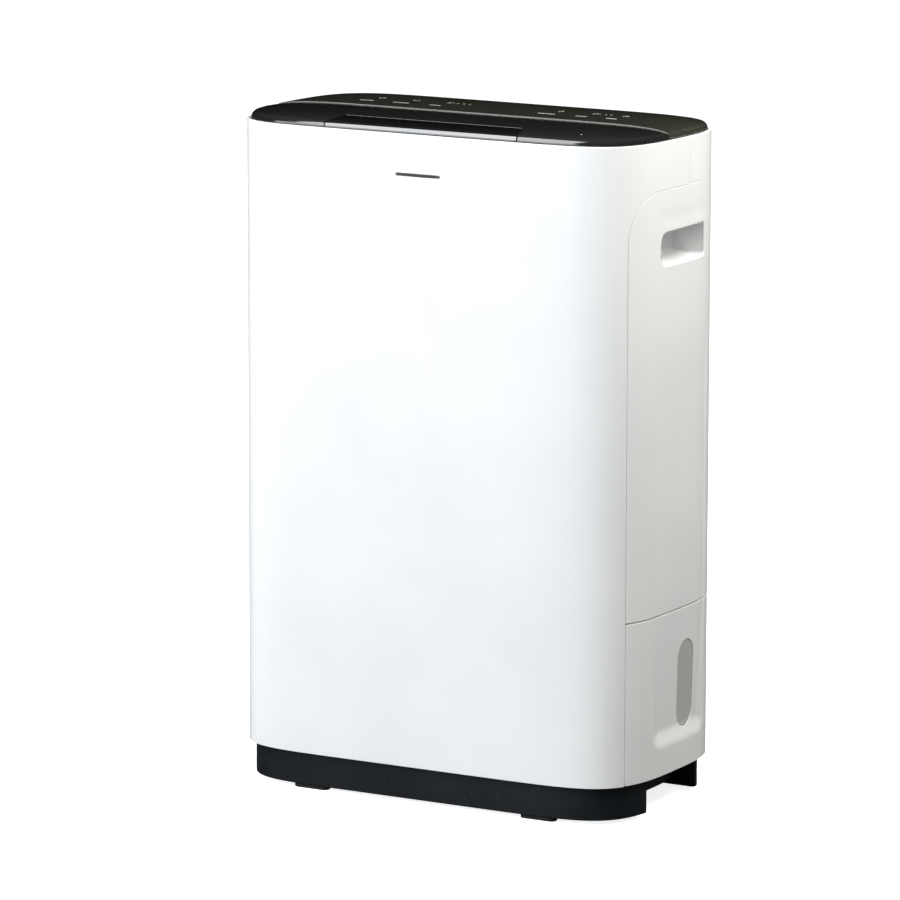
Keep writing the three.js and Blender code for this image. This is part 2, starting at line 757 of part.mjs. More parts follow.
const cap = subassembly();
place(cap, "top_lid", topLid(), black);
place(cap, "control_panel", controlPanel(), black);
place(cap, "outlet_flap", outletFlap(), black);
place(cap, "display_board", box([-140, 140], [5, 75], [582, 584.2]), circuit);
place(cap, "flap_motor", bar("x", 11, [-83, 582], [93, 111]), greyPlastic);

const airPath = subassembly();
place(airPath, "intake_grille", intakeGrille(), white);
place(airPath, "air_filter", airFilter(), charcoal);
place(airPath, "blower_scroll_front", scroll([SCROLL.y[0], SCROLL_SPLIT_Y - GAP / 2]), greyPlastic);
place(airPath, "blower_scroll_rear", scroll([SCROLL_SPLIT_Y + GAP / 2, SCROLL.y[1]]), greyPlastic);
place(airPath, "outlet_duct", outletDuct(), greyPlastic);
place(airPath, "outlet_guard", outletGuard(), black);

const fan = subassembly(airPath, [FAN.x, 0, FAN.z]);
place(fan, "fan_wheel", fanWheel(), black);
place(fan, "fan_shaft", bar("y", 4, [0, 0], [-88.6, 2], 16), steel);
place(fan, "fan_motor", fanMotor(), steel);

const cooling = subassembly();
place(cooling, "evaporator", coil([66, 90]), aluminium);
place(cooling, "condenser", coil([28, 50]), aluminium);
place(cooling, "drip_tray", dripTray(), greyPlastic);
const suctionRoute = [
  [-60.6, 80, 405], [-74, 80, 416], [-78, 55, 424], [-66, 12, 408], [-58, 0, 390], [-58, 0, 373],
];
const dischargeRoute = [
  [-128, 18, 403], [-128, 20, 424], [-112, 36, 438], [-84, 41, 438], [-68, 40, 428], [-59, 40, 425],
];
const capillaryRoute = [
  [-59.4, 40, 226], [-70, 42, 224], [-76, 58, 234], [-70, 74, 228], [-59.4, 78, 226],
];
place(cooling, "suction_pipe", pipe(suctionRoute, 3), copper);
place(cooling, "discharge_pipe", pipe(dischargeRoute, 3), copper);
place(cooling, "capillary_tube", pipe(capillaryRoute, 1.2, 14), copper);
const accumulatorCentre = [ACCUMULATOR.x, ACCUMULATOR.y];
place(cooling, "accumulator", bar("z", ACCUMULATOR.radius, accumulatorCentre, [230, 372.4]), enamel);

const pump = subassembly(cooling, [COMPRESSOR.x, COMPRESSOR.y, 0]);
place(pump, "compressor", compressor(), enamel);
regularPolygon(3, 52, 90).forEach(([x, y], i) => {
  const mount = bar("z", 8, [0, 0], [SHELF_TOP + GAP, 199.6], 16);
  place(pump, `compressor_mount_${i + 1}`, mount, rubber, [x, y, 0]);
});

const waterTank = subassembly();
place(waterTank, "tank", tank(), white);
place(waterTank, "tank_lid", tankLid(), white);
place(waterTank, "tank_float", tankFloat(), foam);
for (const [side, sign] of sides) {
  place(waterTank, `tank_window_${side}`, tankWindow(sign), smoked);
}

const fittings = subassembly();
place(fittings, "tank_switch", box([-72, -48], [-74, -58], [SHELF_TOP + GAP, 200]), greyPlastic);
place(fittings, "humidity_sensor", box([-100, -86], [86, 92], [300, 320]), greyPlastic);
place(fittings, "drain_spout", drainSpout(), greyPlastic);
place(fittings, "drain_plug", drainPlug(), rubber);
place(fittings, "cord_gland", cordGland(), rubber);
place(fittings, "electronics_box", electronicsBox(), greyPlastic);
place(fittings, "main_board", box([-151, -99], [-36, 46], [458, 460]), circuit);
place(fittings, "run_capacitor", bar("z", 16, [-74, 24], [452, 520]), aluminium);

const fasteners = subassembly();
REAR_SCREW_Z.forEach((z, level) => {
  for (const [side, sign] of sides) {
    const name = `rear_screw_${level === 0 ? "lower" : "upper"}_${side}`;
    place(fasteners, name, screw("y", 3.7, 1.5, 1.8, 14.2), steel, [sign * REAR_SCREW_X, 99.5, z]);
  }
});
BASE_SCREW_X.forEach((x, i) => {
  const upward = screw("z", 4, 2, 2, 16).rotate([180, 0, 0]);
  place(fasteners, `base_screw_${i + 1}`, upward, steel, [x, BASE_SCREW_Y, 27.6]);
});

export default dehumidifier;
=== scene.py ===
"""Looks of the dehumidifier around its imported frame: smooth panels, materials, camera and studio.

Lengths are millimetres until a mesh is made, and Blender's are metres. Panels are cut from two
surfaces: the casing's upright wall and the domed cap. A place on the wall is (distance round it
from the middle of the front, height); a place on the cap is (x, y) with its shoulder unrolled.
"""

import math

import bpy
import numpy as np
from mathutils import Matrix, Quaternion, Vector
from mathutils.geometry import delaunay_2d_cdt


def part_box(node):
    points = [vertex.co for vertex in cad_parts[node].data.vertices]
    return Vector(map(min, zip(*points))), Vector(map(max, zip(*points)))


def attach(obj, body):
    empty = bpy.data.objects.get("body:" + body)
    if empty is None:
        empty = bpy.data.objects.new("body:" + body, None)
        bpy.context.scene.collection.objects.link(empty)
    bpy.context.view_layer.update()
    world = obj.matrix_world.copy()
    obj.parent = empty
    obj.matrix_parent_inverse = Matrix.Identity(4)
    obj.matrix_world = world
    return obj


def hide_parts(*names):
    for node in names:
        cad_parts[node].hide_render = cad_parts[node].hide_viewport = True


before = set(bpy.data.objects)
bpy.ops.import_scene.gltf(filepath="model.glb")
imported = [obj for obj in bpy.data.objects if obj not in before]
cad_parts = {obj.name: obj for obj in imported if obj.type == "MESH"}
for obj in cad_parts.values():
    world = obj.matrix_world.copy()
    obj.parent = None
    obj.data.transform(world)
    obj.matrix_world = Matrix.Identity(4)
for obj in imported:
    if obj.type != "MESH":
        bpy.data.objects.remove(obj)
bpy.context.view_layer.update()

MM = 0.001


def box_mm(node):
    low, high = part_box(node)
    return np.array(low) / MM, np.array(high) / MM


# ---------------------------------------------------------------- sizes
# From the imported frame
HALF_X, HALF_Y = box_mm("rear_shell")[1][:2]
SHELL_BOTTOM = box_mm("front_shell")[0][2]
RIM_HEIGHT = box_mm("front_shell")[1][2]
TANK_FRONT_Y, TANK_BOTTOM = box_mm("tank")[0][1:]
TANK_TOP = box_mm("tank")[1][2]
REAR_BOTTOM = box_mm("rear_shell")[0][2]
BASE_LOW, BASE_TOP = box_mm("base")[0][2], box_mm("base")[1][2]
GRILLE_LOW, GRILLE_HIGH = box_mm("intake_grille")
LENS_LOW, LENS_HIGH = box_mm("status_lens")
LENS_TRIM = 0.8
LENS_HIGH[2] -= LENS_TRIM
LENS_MIDDLE = (LENS_LOW[2] + LENS_HIGH[2]) / 2

# The casing's own curves, as in the part, and the seams between its panels
END_POWER = 7.7
FACE_POWER = 3.3
TOP_LEAN = 0.014
PANEL_DEPTH = 3
GAP = 0.4
SEAM_GAP = 0.25
SEAM_Y = -77
SPLIT_Y = 16.5
ARCH_CENTRE = (-37, 510)
ARCH_RADII = (40, 40.3)
ARCH_TOP = ARCH_CENTRE[1] + ARCH_RADII[1]
ARCH_END_Y = 40
CORNER_CUT = 1.8
EDGE_STATIONS = (8, 1.5)

# The cap: its foot and lip are heights over the CAD's rim, and the shells stop RIM_DROP below
# that rim. FLAP_HALVES are the flap's half widths at FLAP_REAR_Y and FLAP_FRONT_Y.
RIM_DROP = 0.8
CAP_INSET = 3
CAP_FOOT = -0.3
CAP_LIP = 2
CAP_RISE = 8
CAP_POWER = 2.2
CAP_EDGE_RADIUS = 7
CAP_EDGE_SPREAD = 30
CAP_SEAM_Y = -16
CAP_SEAM_HALF = 0.35
LID_SINK = 0.8
FLAP_REAR_Y = -79.7
FLAP_FRONT_Y = -112
FLAP_HALVES = (88, 98)

# Each end: handle, channel, scoop and window
HANDLE_Y = (-34.5, 48)
HANDLE_Z = (484, 513.2)
HANDLE_CORNERS = (10, 4)
HANDLE_FLOOR_X = 168.5
WINDOW_Y = (6, 36)
WINDOW_Z = (70.4, 147.2)
CHANNEL_Y = (-44.5, 60)
CHANNEL_CORNER = 16
CHANNEL_TOP = 431
CHANNEL_FADE = 70
CHANNEL_DEPTH = 1.0
SCOOP_BOTTOM = 58
SCOOP_RUN = 106
SCOOP_DEPTH = 3.3
CREASE_Z = 525

# Rear fittings, status bar's ribs, tank and base
SPOUT_CENTRE, SPOUT_HOLE = (-100, 201), 9.5
GLAND_CENTRE, GLAND_HOLE = (105, 203), 8.4
REAR_SCREWS = [(x, z) for z in (192, 572) for x in (-158, 158)]
SCREW_HOLE = 4.3
RIB_X = (34, 96)
TANK_WALL = 2.8
DRIP_HOLE = (100, 58)
EARS_X, EARS_Y, EARS_FOOT = (-80.5, -39.5), (-70, -60), 158
BASE_WALL = 5
BASE_ROWS = (12, 20, 27)
BASE_CORNER = 1.6
PLINTH_INSET, PLINTH_END_Y = 5, -42
FOOT_INSET, FOOT_FRONT_Y = 7.5, 62
PLATE_INSET, PLATE_LOW = 25, 14
LEDGE_INSET, LEDGE_LOW = 8, 26

NO_GRID = np.zeros((0, 2))
SLOPE_STEP = 0.2
EDGE_CLEARANCE = 0.8


def rim_at(y):
    return RIM_HEIGHT - TOP_LEAN * (y + HALF_Y)


def smooth(t):
    t = np.clip(t, 0, 1)
    return t * t * (3 - 2 * t)


def plateau(value, low, high, soft):
    """One between low and high, easing to zero over the last soft millimetres inside them."""
    return smooth((value - low) / soft) * smooth((high - value) / soft)


def ridge(value, middle, width):
    return np.exp(-(((value - middle) / width) ** 2))


def unit(vectors):
    return vectors / np.maximum(np.linalg.norm(vectors, axis=-1, keepdims=True), 1e-12)


def travel_along(path):
    """Distance from the path's start to each of its points."""
    return np.concatenate([[0], np.cumsum(np.linalg.norm(np.diff(path, axis=0), axis=1))])


def resampled(path, travel, wanted):
    """Points of the path at the wanted distances."""
    return np.stack([np.interp(wanted, travel, path[:, i]) for i in (0, 1)], 1)


# ---------------------------------------------------------------- surfaces
def plan_curve(half_x, half_y, samples=24000):
    """Points of the casing's plan curve, anticlockwise from the middle of the front."""
    turn = np.linspace(-math.pi / 2, 1.5 * math.pi, samples + 1)
    ray = np.stack([np.cos(turn), np.sin(turn)], 1)
    low = np.zeros(len(turn))
    high = np.full(len(turn), half_x + half_y)
    for _ in range(45):
        middle = (low + high) / 2
        level = np.abs(middle * ray[:, 0] / half_x) ** END_POWER
        level += np.abs(middle * ray[:, 1] / half_y) ** FACE_POWER
        low = np.where(level <= 1, middle, low)
        high = np.where(level > 1, middle, high)
    return ray * low[:, None]


def plan_gradient(x, y, half_x, half_y):
    """Outward direction of the plan curve through each point."""
    slope_x = END_POWER * np.abs(x / half_x) ** (END_POWER - 1) / half_x * np.sign(x)
    slope_y = FACE_POWER * np.abs(y / half_y) ** (FACE_POWER - 1) / half_y * np.sign(y)
    return unit(np.stack([slope_x, slope_y], -1))


class Wall:
    """The upright skin of the casing, moved inwards by inset and sunk by relief(x, y, z)."""

    def __init__(self, inset=0.0, relief=None):
        self.half = HALF_X - inset, HALF_Y - inset
        self.relief = relief
        self.plan = plan_curve(*self.half)
        self.around = travel_along(self.plan)
        self.length = self.around[-1]
        normal = plan_gradient(*self.plan.T, *self.half)
        self.heading = np.unwrap(np.arctan2(normal[:, 1], normal[:, 0]))

    def xy(self, s):
        s = np.mod(s, self.length)
        return [np.interp(s, self.around, self.plan[:, i]) for i in (0, 1)]

    def depth(self, s, z):
        if self.relief is None:
            return np.zeros(np.broadcast(s, z).shape)
        return self.relief(*self.xy(s), z)

    def __call__(self, places):
        s, z = places[:, 0], places[:, 1]
        x, y = self.xy(s)
        out = plan_gradient(x, y, *self.half)
        depth = self.depth(s, z)
        step = 0.15
        along = (self.depth(s + step, z) - self.depth(s - step, z)) / (2 * step)
        upward = (self.depth(s, z + step) - self.depth(s, z - step)) / (2 * step)
        position = np.stack([x - out[:, 0] * depth, y - out[:, 1] * depth, z], 1)
        normal = np.stack(
            [out[:, 0] - along * out[:, 1], out[:, 1] + along * out[:, 0], upward], 1
        )
        return position, unit(normal)

    def at_y(self, y):
        """Distance round to y on the right-hand end."""
        half = len(self.plan) // 2
        return np.interp(y, self.plan[:half, 1], self.around[:half])

    def at_x(self, x):
        """Distance round to x on the front; the back is half the length minus this."""
        quarter = len(self.plan) // 4
        distance = np.interp(np.abs(x), self.plan[:quarter, 0], self.around[:quarter])
        return np.sign(x) * distance

    def stations(self, start, end, longest=16, turn_degrees=3.0):
        """Distances from start to end, closer together where the wall curves."""
        count = max(int(abs(end - start) / 0.5), 8)
        s = np.linspace(start, end, count)
        laps, rest = np.divmod(s, self.length)
        heading = np.interp(rest, self.around, self.heading) + laps * 2 * math.pi
        measure = np.abs(np.diff(s)) / longest
        measure += np.abs(np.diff(heading)) / math.radians(turn_degrees)
        measure = np.concatenate([[0], np.cumsum(measure)])
        wanted = np.linspace(0, measure[-1], max(int(math.ceil(measure[-1])), 1) + 1)
        return np.interp(wanted, measure, s)


class Cap:
    """The dome. Beyond the level where its shoulder starts, a place is unrolled distance."""

    HALF = HALF_X - CAP_INSET, HALF_Y - CAP_INSET
    SHOULDER = 0.45

    def __init__(self, sink=None):
        self.sink = sink
        half_x = self.HALF[0]
        level = 1 - np.linspace((1 - self.SHOULDER) ** 0.25, 0, 900) ** 4
        reach = half_x * level ** (1 / END_POWER)
        rise = self.rise_at(level)
        steps = np.hypot(np.diff(reach), np.diff(rise))
        self.unrolled = reach[0] + np.concatenate([[0], np.cumsum(steps)])
        self.level, self.rise = level, rise
        outer = (self.unrolled[-1] / half_x) ** END_POWER
        self.outer_half = (
            half_x * outer ** (1 / END_POWER),
            self.HALF[1] * outer ** (1 / FACE_POWER),
        )

    def level_of(self, x, y):
        return np.abs(x / self.HALF[0]) ** END_POWER + np.abs(y / self.HALF[1]) ** FACE_POWER

    def rise_at(self, level):
        """Height over the rim: a rounded edge that runs up into the crown."""
        fall = np.clip(1 - level, 0, 1)
        crown = CAP_LIP + CAP_RISE * fall ** (1 / CAP_POWER)
        bend = np.clip(fall * CAP_EDGE_SPREAD / CAP_EDGE_RADIUS, 0, 1)
        edge = CAP_FOOT + CAP_EDGE_RADIUS * np.sqrt(bend * (2 - bend))
        share = smooth(bend)
        return edge * (1 - share) + crown * share

    def points(self, places):
        x, y = places[:, 0], places[:, 1]
        level = self.level_of(x, y)
        equivalent = self.HALF[0] * level ** (1 / END_POWER)
        beyond = level > self.SHOULDER
        new_level = np.where(beyond, np.interp(equivalent, self.unrolled, self.level), level)
        rise = np.interp(equivalent, self.unrolled, self.rise)
        rise = np.where(beyond, rise, self.rise_at(level))
        if self.sink is not None:
            rise = rise - self.sink(y)
        ratio = new_level / np.maximum(level, 1e-9)
        x = np.where(beyond, x * ratio ** (1 / END_POWER), x)
        y = np.where(beyond, y * ratio ** (1 / FACE_POWER), y)
        return np.stack([x, y, rim_at(y) + rise], 1)

    def __call__(self, places):
        step = 0.25
        east, north = np.array([step, 0]), np.array([0, step])
        along_x = self.points(places + east) - self.points(places - east)
        along_y = self.points(places + north) - self.points(places - north)
        return self.points(places), unit(np.cross(along_x, along_y))


def flat(x, y):
    return np.zeros(len(x))


class Level:
    """A horizontal sheet that faces up or down, sunk by relief. A place on it is (x, y)."""

    def __init__(self, z, up=True, relief=flat):
        self.z, self.side, self.relief = z, 1 if up else -1, relief

    def __call__(self, places):
        x, y = places[:, 0] * self.side, places[:, 1]
        position = np.stack([x, y, self.z - self.side * self.relief(x, y)], 1)
        east, north = self.relief(x + SLOPE_STEP, y), self.relief(x, y + SLOPE_STEP)
        west, south = self.relief(x - SLOPE_STEP, y), self.relief(x, y - SLOPE_STEP)
        slopes = np.stack([east - west, north - south], 1) / (2 * SLOPE_STEP)
        return position, unit(np.column_stack([slopes, np.full(len(x), float(self.side))]))


class Upright:
    """A flat upright sheet that faces -y. A place on it is (x, z)."""

    def __init__(self, y):
        self.y = y

    def __call__(self, places):
        count = len(places)
        position = np.stack([places[:, 0], np.full(count, float(self.y)), places[:, 1]], 1)
        return position, np.tile([0.0, -1.0, 0.0], (count, 1))


class Sunk:
    """Another surface, moved inwards along its normals."""

    def __init__(self, surface, depth):
        self.surface, self.depth = surface, depth

    def __call__(self, places):
        position, normal = self.surface(places)
        return position - normal * self.depth, normal


# ---------------------------------------------------------------- outlines
def spaced(points, longest):
    """The path through points, with more between any that are over longest apart."""
    points = np.asarray(points, float)
    made = [points[:1]]
    for a, b in zip(points[:-1], points[1:]):
        count = max(int(math.ceil(np.linalg.norm(b - a) / longest)), 1)
        made.append(a + (b - a) * (np.arange(1, count + 1) / count)[:, None])
    return np.concatenate(made)


def trimmed(path, start_cut, end_cut):
    """The path without its first and last few millimetres."""
    travel = travel_along(path)
    low, high = start_cut, travel[-1] - end_cut
    inner = travel[(travel > low + 0.05) & (travel < high - 0.05)]
    return resampled(path, travel, np.concatenate([[low], inner, [high]]))


def closed_outline(sides, corner=CORNER_CUT, longest=9.0):
    """One closed loop from sides that meet end to start, with softened corners."""
    corners = corner if isinstance(corner, (list, tuple)) else [corner] * len(sides)
    made = []
    for i, side in enumerate(sides):
        path = trimmed(spaced(side, longest), corners[i - 1], corners[i])
        made.append(path)
        following = np.asarray(sides[(i + 1) % len(sides)], float)
        next_path = trimmed(spaced(following, longest), corners[i], 0)
        a, b, c = path[-1], following[0], next_path[0]
        t = np.linspace(0, 1, 8)[1:-1, None]
        made.append(a * (1 - t) ** 2 + 2 * b * t * (1 - t) + c * t**2)
    return np.concatenate(made)


def rectangle(u_span, v_span, corner, longest=9.0):
    (u0, u1), (v0, v1) = u_span, v_span
    points = [(u0, v0), (u1, v0), (u1, v1), (u0, v1), (u0, v0)]
    return closed_outline([points[i : i + 2] for i in range(4)], corner, longest)


def rounded_rectangle(u_span, v_span, radius, steps=8, far_radius=None):
    """far_radius, if given, is for the two corners at the greater u."""
    (u0, u1), (v0, v1) = u_span, v_span
    turn = np.radians(np.linspace(0, 90, steps + 1))
    loop = []
    corners = [(u1, v0), (u1, v1), (u0, v1), (u0, v0)]
    for i, (u, v) in enumerate(corners):
        bend = far_radius if far_radius and u == u1 else radius
        u += bend if u == u0 else -bend
        v += bend if v == v0 else -bend
        start = math.radians(90 * i - 90)
        arc = [u + bend * np.cos(turn + start), v + bend * np.sin(turn + start)]
        loop.append(np.stack(arc, 1))
    loop = np.concatenate(loop)
    keep = np.linalg.norm(loop - np.roll(loop, 1, 0), axis=1) > 0.02
    return spaced(np.concatenate([loop[keep], loop[keep][:1]]), 6)[:-1]


def circle(centre, radius, steps=40):
    turn = np.linspace(0, 2 * math.pi, steps, endpoint=False)
    return np.stack([centre[0] + radius * np.cos(turn), centre[1] + radius * np.sin(turn)], 1)


def signed_area(loop):
    x, y = loop.T
    return np.sum(x * np.roll(y, -1) - np.roll(x, -1) * y) / 2


def outward(loop):
    """Unit directions away from the material, which lies to the left of the loop."""
    ahead = unit(np.roll(loop, -1, 0) - loop)
    mean = unit(ahead + np.roll(ahead, 1, 0))
    return np.stack([mean[:, 1], -mean[:, 0]], 1)


def inside(points, loop):
    found = np.zeros(len(points), bool)
    px, py = points[:, 0], points[:, 1]
    for (x0, y0), (x1, y1) in zip(loop, np.roll(loop, -1, 0)):
        crosses = (y0 > py) != (y1 > py)
        if crosses.any():
            at = x0 + (py - y0) * (x1 - x0) / np.where(y1 == y0, 1e-12, y1 - y0)
            found ^= crosses & (px < at)
    return found


def within(points, rims):
    """Which points are inside the first rim and outside the others."""
    found = inside(points, rims[0])
    for rim in rims[1:]:
        found &= ~inside(points, rim)
    return found


def near(points, loop, distance):
    found = np.zeros(len(points), bool)
    for place in loop:
        found |= np.abs(points - place).max(1) < distance
    return found


def mesh_grid(columns, rows):
    u, v = np.meshgrid(columns, rows)
    return np.stack([u.ravel(), v.ravel()], 1)


# ---------------------------------------------------------------- patches
def patch(position, normal, faces, slot=0):
    """Faces with the same number of corners each, turned to face the way of their normals."""
    faces = np.array(faces)
    a, b, c = (position[faces[:, i]] for i in range(3))
    facing = np.cross(b - a, c - a)
    wrong = np.sum(facing * normal[faces].sum(1), 1) < 0
    faces[wrong] = faces[wrong][:, ::-1]
    return {"position": position, "normal": normal, "faces": faces.tolist(), "slot": slot}


def ring_patch(rings, normals, closed=True):
    """Quads between rings of points."""
    count = len(rings[0])
    faces = []
    for start in range(0, (len(rings) - 1) * count, count):
        for i in range(count if closed else count - 1):
            j = (i + 1) % count
            faces.append((start + i, start + count + i, start + count + j, start + j))
    return patch(np.concatenate(rings), np.concatenate(normals), faces)


def triangulated(loops, points=(), mode=0):
    """Flat points and triangles that keep the edges of the loops."""
    places, segments = [], []
    for loop in loops:
        start = len(places)
        places += [Vector(p) for p in loop]
        segments += [(start + i, start + (i + 1) % len(loop)) for i in range(len(loop))]
    places += [Vector(p) for p in points]
    made = delaunay_2d_cdt(places, segments, [], mode, 1e-6)
    return np.array([tuple(p) for p in made[0]]), np.array(made[2])


def skin(surface, outline, grid, holes=(), roll=0.7, depth=PANEL_DEPTH, refine=(), inner=True):
    """Patches of a panel: its face, its rolled edges and the face behind it.

    holes are (loop, roll, depth). refine holds finer grids that replace the points near them."""
    loops = []
    for number, (loop, edge_roll, edge_depth) in enumerate([(outline, roll, depth), *holes]):
        loop = np.asarray(loop, float)
        if (signed_area(loop) > 0) != (number == 0):
            loop = loop[::-1]
        loops.append((loop, edge_roll, edge_depth))
    for fine in refine:
        low, high = fine.min(0) - 2, fine.max(0) + 2
        grid = grid[~((grid > low) & (grid < high)).all(1)]
    points = np.concatenate([grid, *refine])
    rims = [loop - outward(loop) * edge_roll for loop, edge_roll, _ in loops]
    keep = within(points, rims)
    for rim in rims:
        keep &= ~near(points, rim, EDGE_CLEARANCE)
    flat, triangles = triangulated(rims, points[keep])
    triangles = triangles[within(flat[triangles].mean(1), rims)]
    position, normal = surface(flat)
    patches = [patch(position, normal, triangles)]
    if inner:
        patches.append(patch(position - normal * depth, -normal, triangles[:, ::-1]))

    for (loop, edge_roll, edge_depth), rim in zip(loops, rims):
        out = outward(loop)
        edge_position, edge_normal = surface(loop)
        beyond = surface(loop + out * SLOPE_STEP)[0] - surface(loop - out * SLOPE_STEP)[0]
        beyond -= edge_normal * np.sum(beyond * edge_normal, 1)[:, None]
        beyond = unit(beyond)
        rings, normals = [edge_position - edge_normal * edge_depth], [beyond]
        for angle in np.radians(np.linspace(90, 0, 5)):
            at, up = surface(loop - out * edge_roll * (1 - math.sin(angle)))
            rings.append(at - up * edge_roll * (1 - math.cos(angle)))
            normals.append(up * math.cos(angle) + beyond * math.sin(angle))
        patches.append(ring_patch(rings, normals))
        if inner:
            back, up = surface(rim)
            patches.append(ring_patch([rings[0], back - up * depth], [-edge_normal, -up]))
    return patches


def turned_ring(radius, height, turn):
    return np.stack([-radius * np.cos(turn), np.full(len(turn), height), radius * np.sin(turn)], 1)


def lathe(profile, centre, steps=36):
    """A shape turned round +y from (radius, height) pairs; its outer side is right of the run."""
    profile = np.asarray(profile, float)
    turn = np.linspace(0, 2 * math.pi, steps, endpoint=False)
    patches = []
    for start, end in zip(profile[:-1], profile[1:]):
        run = end - start
        if np.linalg.norm(run) < 1e-9:
            continue
        out = turned_ring(*unit(np.array([run[1], -run[0]])), turn)
        rings = [turned_ring(*at, turn) + centre for at in (end, start)]
        patches.append(ring_patch(rings, [out, out]))
    return patches


def rounded_profile(points, radius, steps=4):
    """The profile with each inner corner rounded."""
    points = [np.array(p, float) for p in points]
    made = [points[0]]
    for before, corner, after in zip(points[:-2], points[1:-1], points[2:]):
        reach = min(radius, np.linalg.norm(corner - before) / 2, np.linalg.norm(after - corner) / 2)
        a = corner + unit(before - corner) * reach
        b = corner + unit(after - corner) * reach
        for t in np.linspace(0, 1, steps + 1):
            made.append(a * (1 - t) ** 2 + 2 * corner * t * (1 - t) + b * t**2)
    made.append(points[-1])
    return made


def prism(outline_xy, z_span, edge):
    """A closed upright solid with rounded top and bottom edges."""
    loop = np.asarray(outline_xy, float)
    low, high = z_span
    patches = []
    for surface, outline in ((Level(high), loop), (Level(low, up=False), loop * [-1, 1])):
        patches += skin(surface, outline, NO_GRID, roll=edge, depth=(high - low) / 2, inner=False)
    return patches


def cuboid(low, high, slot=0):
    low, high = np.array(low, float), np.array(high, float)
    corners = mesh_grid([0, 1], [0, 1])
    patches = []
    for axis in range(3):
        u, v = (axis + 1) % 3, (axis + 2) % 3
        for side, order in ((0, (0, 2, 3, 1)), (1, (0, 1, 3, 2))):
            position = np.zeros((4, 3))
            position[:, axis] = high[axis] if side else low[axis]
            position[:, u] = low[u] + corners[:, 0] * (high[u] - low[u])
            position[:, v] = low[v] + corners[:, 1] * (high[v] - low[v])
            normal = np.zeros((4, 3))
            normal[:, axis] = 1 if side else -1
            patches.append(patch(position, normal, [order], slot))
    return patches


def make_piece(name, patches, materials, body, node=None):
    """One Blender object from patches. It rides on body and stands for the CAD node, if any."""
    vertices, normals, faces, slots = [], [], [], []
    start = 0
    for one in patches:
        vertices.append(one["position"])
        normals.append(one["normal"])
        faces += [tuple(start + i for i in face) for face in one["faces"]]
        slots += [one["slot"]] * len(one["faces"])
        start += len(one["position"])
    mesh = bpy.data.meshes.new(name)
    mesh.from_pydata((np.concatenate(vertices) * MM).tolist(), [], faces)
    for material in materials:
        mesh.materials.append(material)
    mesh.polygons.foreach_set("material_index", slots)
    mesh.polygons.foreach_set("use_smooth", [True] * len(faces))
    mesh.update()
    mesh.normals_split_custom_set_from_vertices(unit(np.concatenate(normals)).tolist())
    piece = bpy.data.objects.new(name, mesh)
    bpy.context.scene.collection.objects.link(piece)
    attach(piece, body)
    if node:
        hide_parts(node)


# ---------------------------------------------------------------- materials
def add_node(owner, kind, inputs=None, **settings):
    """A new shader node. Its inputs are given constants, or the sockets that feed them."""
    tree = owner.node_tree
    made = tree.nodes.new("ShaderNode" + kind)
    for key, value in settings.items():
        setattr(made, key, value)
    for key, value in (inputs or {}).items():
        if isinstance(value, bpy.types.NodeSocket):
            tree.links.new(value, made.inputs[key])
        else:
            made.inputs[key].default_value = value
    return made


def shader_of(material):
    return material.node_tree.nodes["Principled BSDF"]


def feed(material, socket, output):
    material.node_tree.links.new(output, shader_of(material).inputs[socket])


def own_space(material):
    return add_node(material, "TexCoord").outputs["Object"]


def new_material(name, color, roughness, **sockets):
    """A Principled material; sockets are constants by name, such as Coat_Weight."""
    material = bpy.data.materials.new(name)
    material.use_nodes = True
    constants = {"Base_Color": (*color, 1), "Roughness": roughness, **sockets}
    for key, value in constants.items():
        shader_of(material).inputs[key.replace("_", " ")].default_value = value
    return material


def noise(material, scale, detail=3.0, stretch=(1, 1, 1)):
    """A noise texture in the piece's own space, in features per metre."""
    mapping = add_node(material, "Mapping", {"Vector": own_space(material), "Scale": stretch})
    inputs = {"Vector": mapping.outputs["Vector"], "Scale": scale, "Detail": detail}
    return add_node(material, "TexNoise", inputs).outputs["Fac"]


def add_bump(material, height, distance, strength=1.0):
    """A bump from height; distance is in metres."""
    inputs = {"Height": height, "Distance": distance, "Strength": strength}
    feed(material, "Normal", add_node(material, "Bump", inputs).outputs["Normal"])


def vary_roughness(material, factor, low, high):
    inputs = {"Value": factor, "From Min": 0.2, "From Max": 0.8, "To Min": low, "To Max": high}
    feed(material, "Roughness", add_node(material, "MapRange", inputs).outputs["Result"])


def vary_color(material, factor, dark, light, low=0.35, high=0.65):
    ramp = add_node(material, "ValToRGB", {"Fac": factor})
    for i, (position, color) in enumerate(((low, dark), (high, light))):
        ramp.color_ramp.elements[i].position = position
        ramp.color_ramp.elements[i].color = (*color, 1)
    feed(material, "Base Color", ramp.outputs["Color"])


def gloss_plastic(name, dark, light, roughness, coat=0.0):
    """Moulded gloss plastic: faint flow waviness, and smudges that dull it a little."""
    material = new_material(name, light, roughness, Coat_Weight=coat, Coat_Roughness=0.06)
    vary_color(material, noise(material, 9, 2), dark, light)
    vary_roughness(material, noise(material, 30, 3), roughness * 0.96, roughness * 1.05)
    add_bump(material, noise(material, 1500, 2), 0.000002)
    return material


def grained_plastic(name, dark, light, roughness, grain=0.00006, scale=1400):
    """Spark-eroded matt plastic: a fine even grain with slow changes of tone."""
    material = new_material(name, light, roughness)
    vary_color(material, noise(material, 14, 3), dark, light)
    vary_roughness(material, noise(material, 90, 3), roughness * 0.9, min(roughness * 1.12, 1))
    add_bump(material, noise(material, scale, 2), grain, 0.6)
    return material


def brushed_metal(name, dark, light, roughness, stretch):
    material = new_material(name, light, roughness, Metallic=1.0)
    streaks = noise(material, 420, 3, stretch)
    vary_color(material, streaks, dark, light)
    vary_roughness(material, streaks, roughness * 0.75, roughness * 1.3)
    add_bump(material, streaks, 0.00002)
    return material


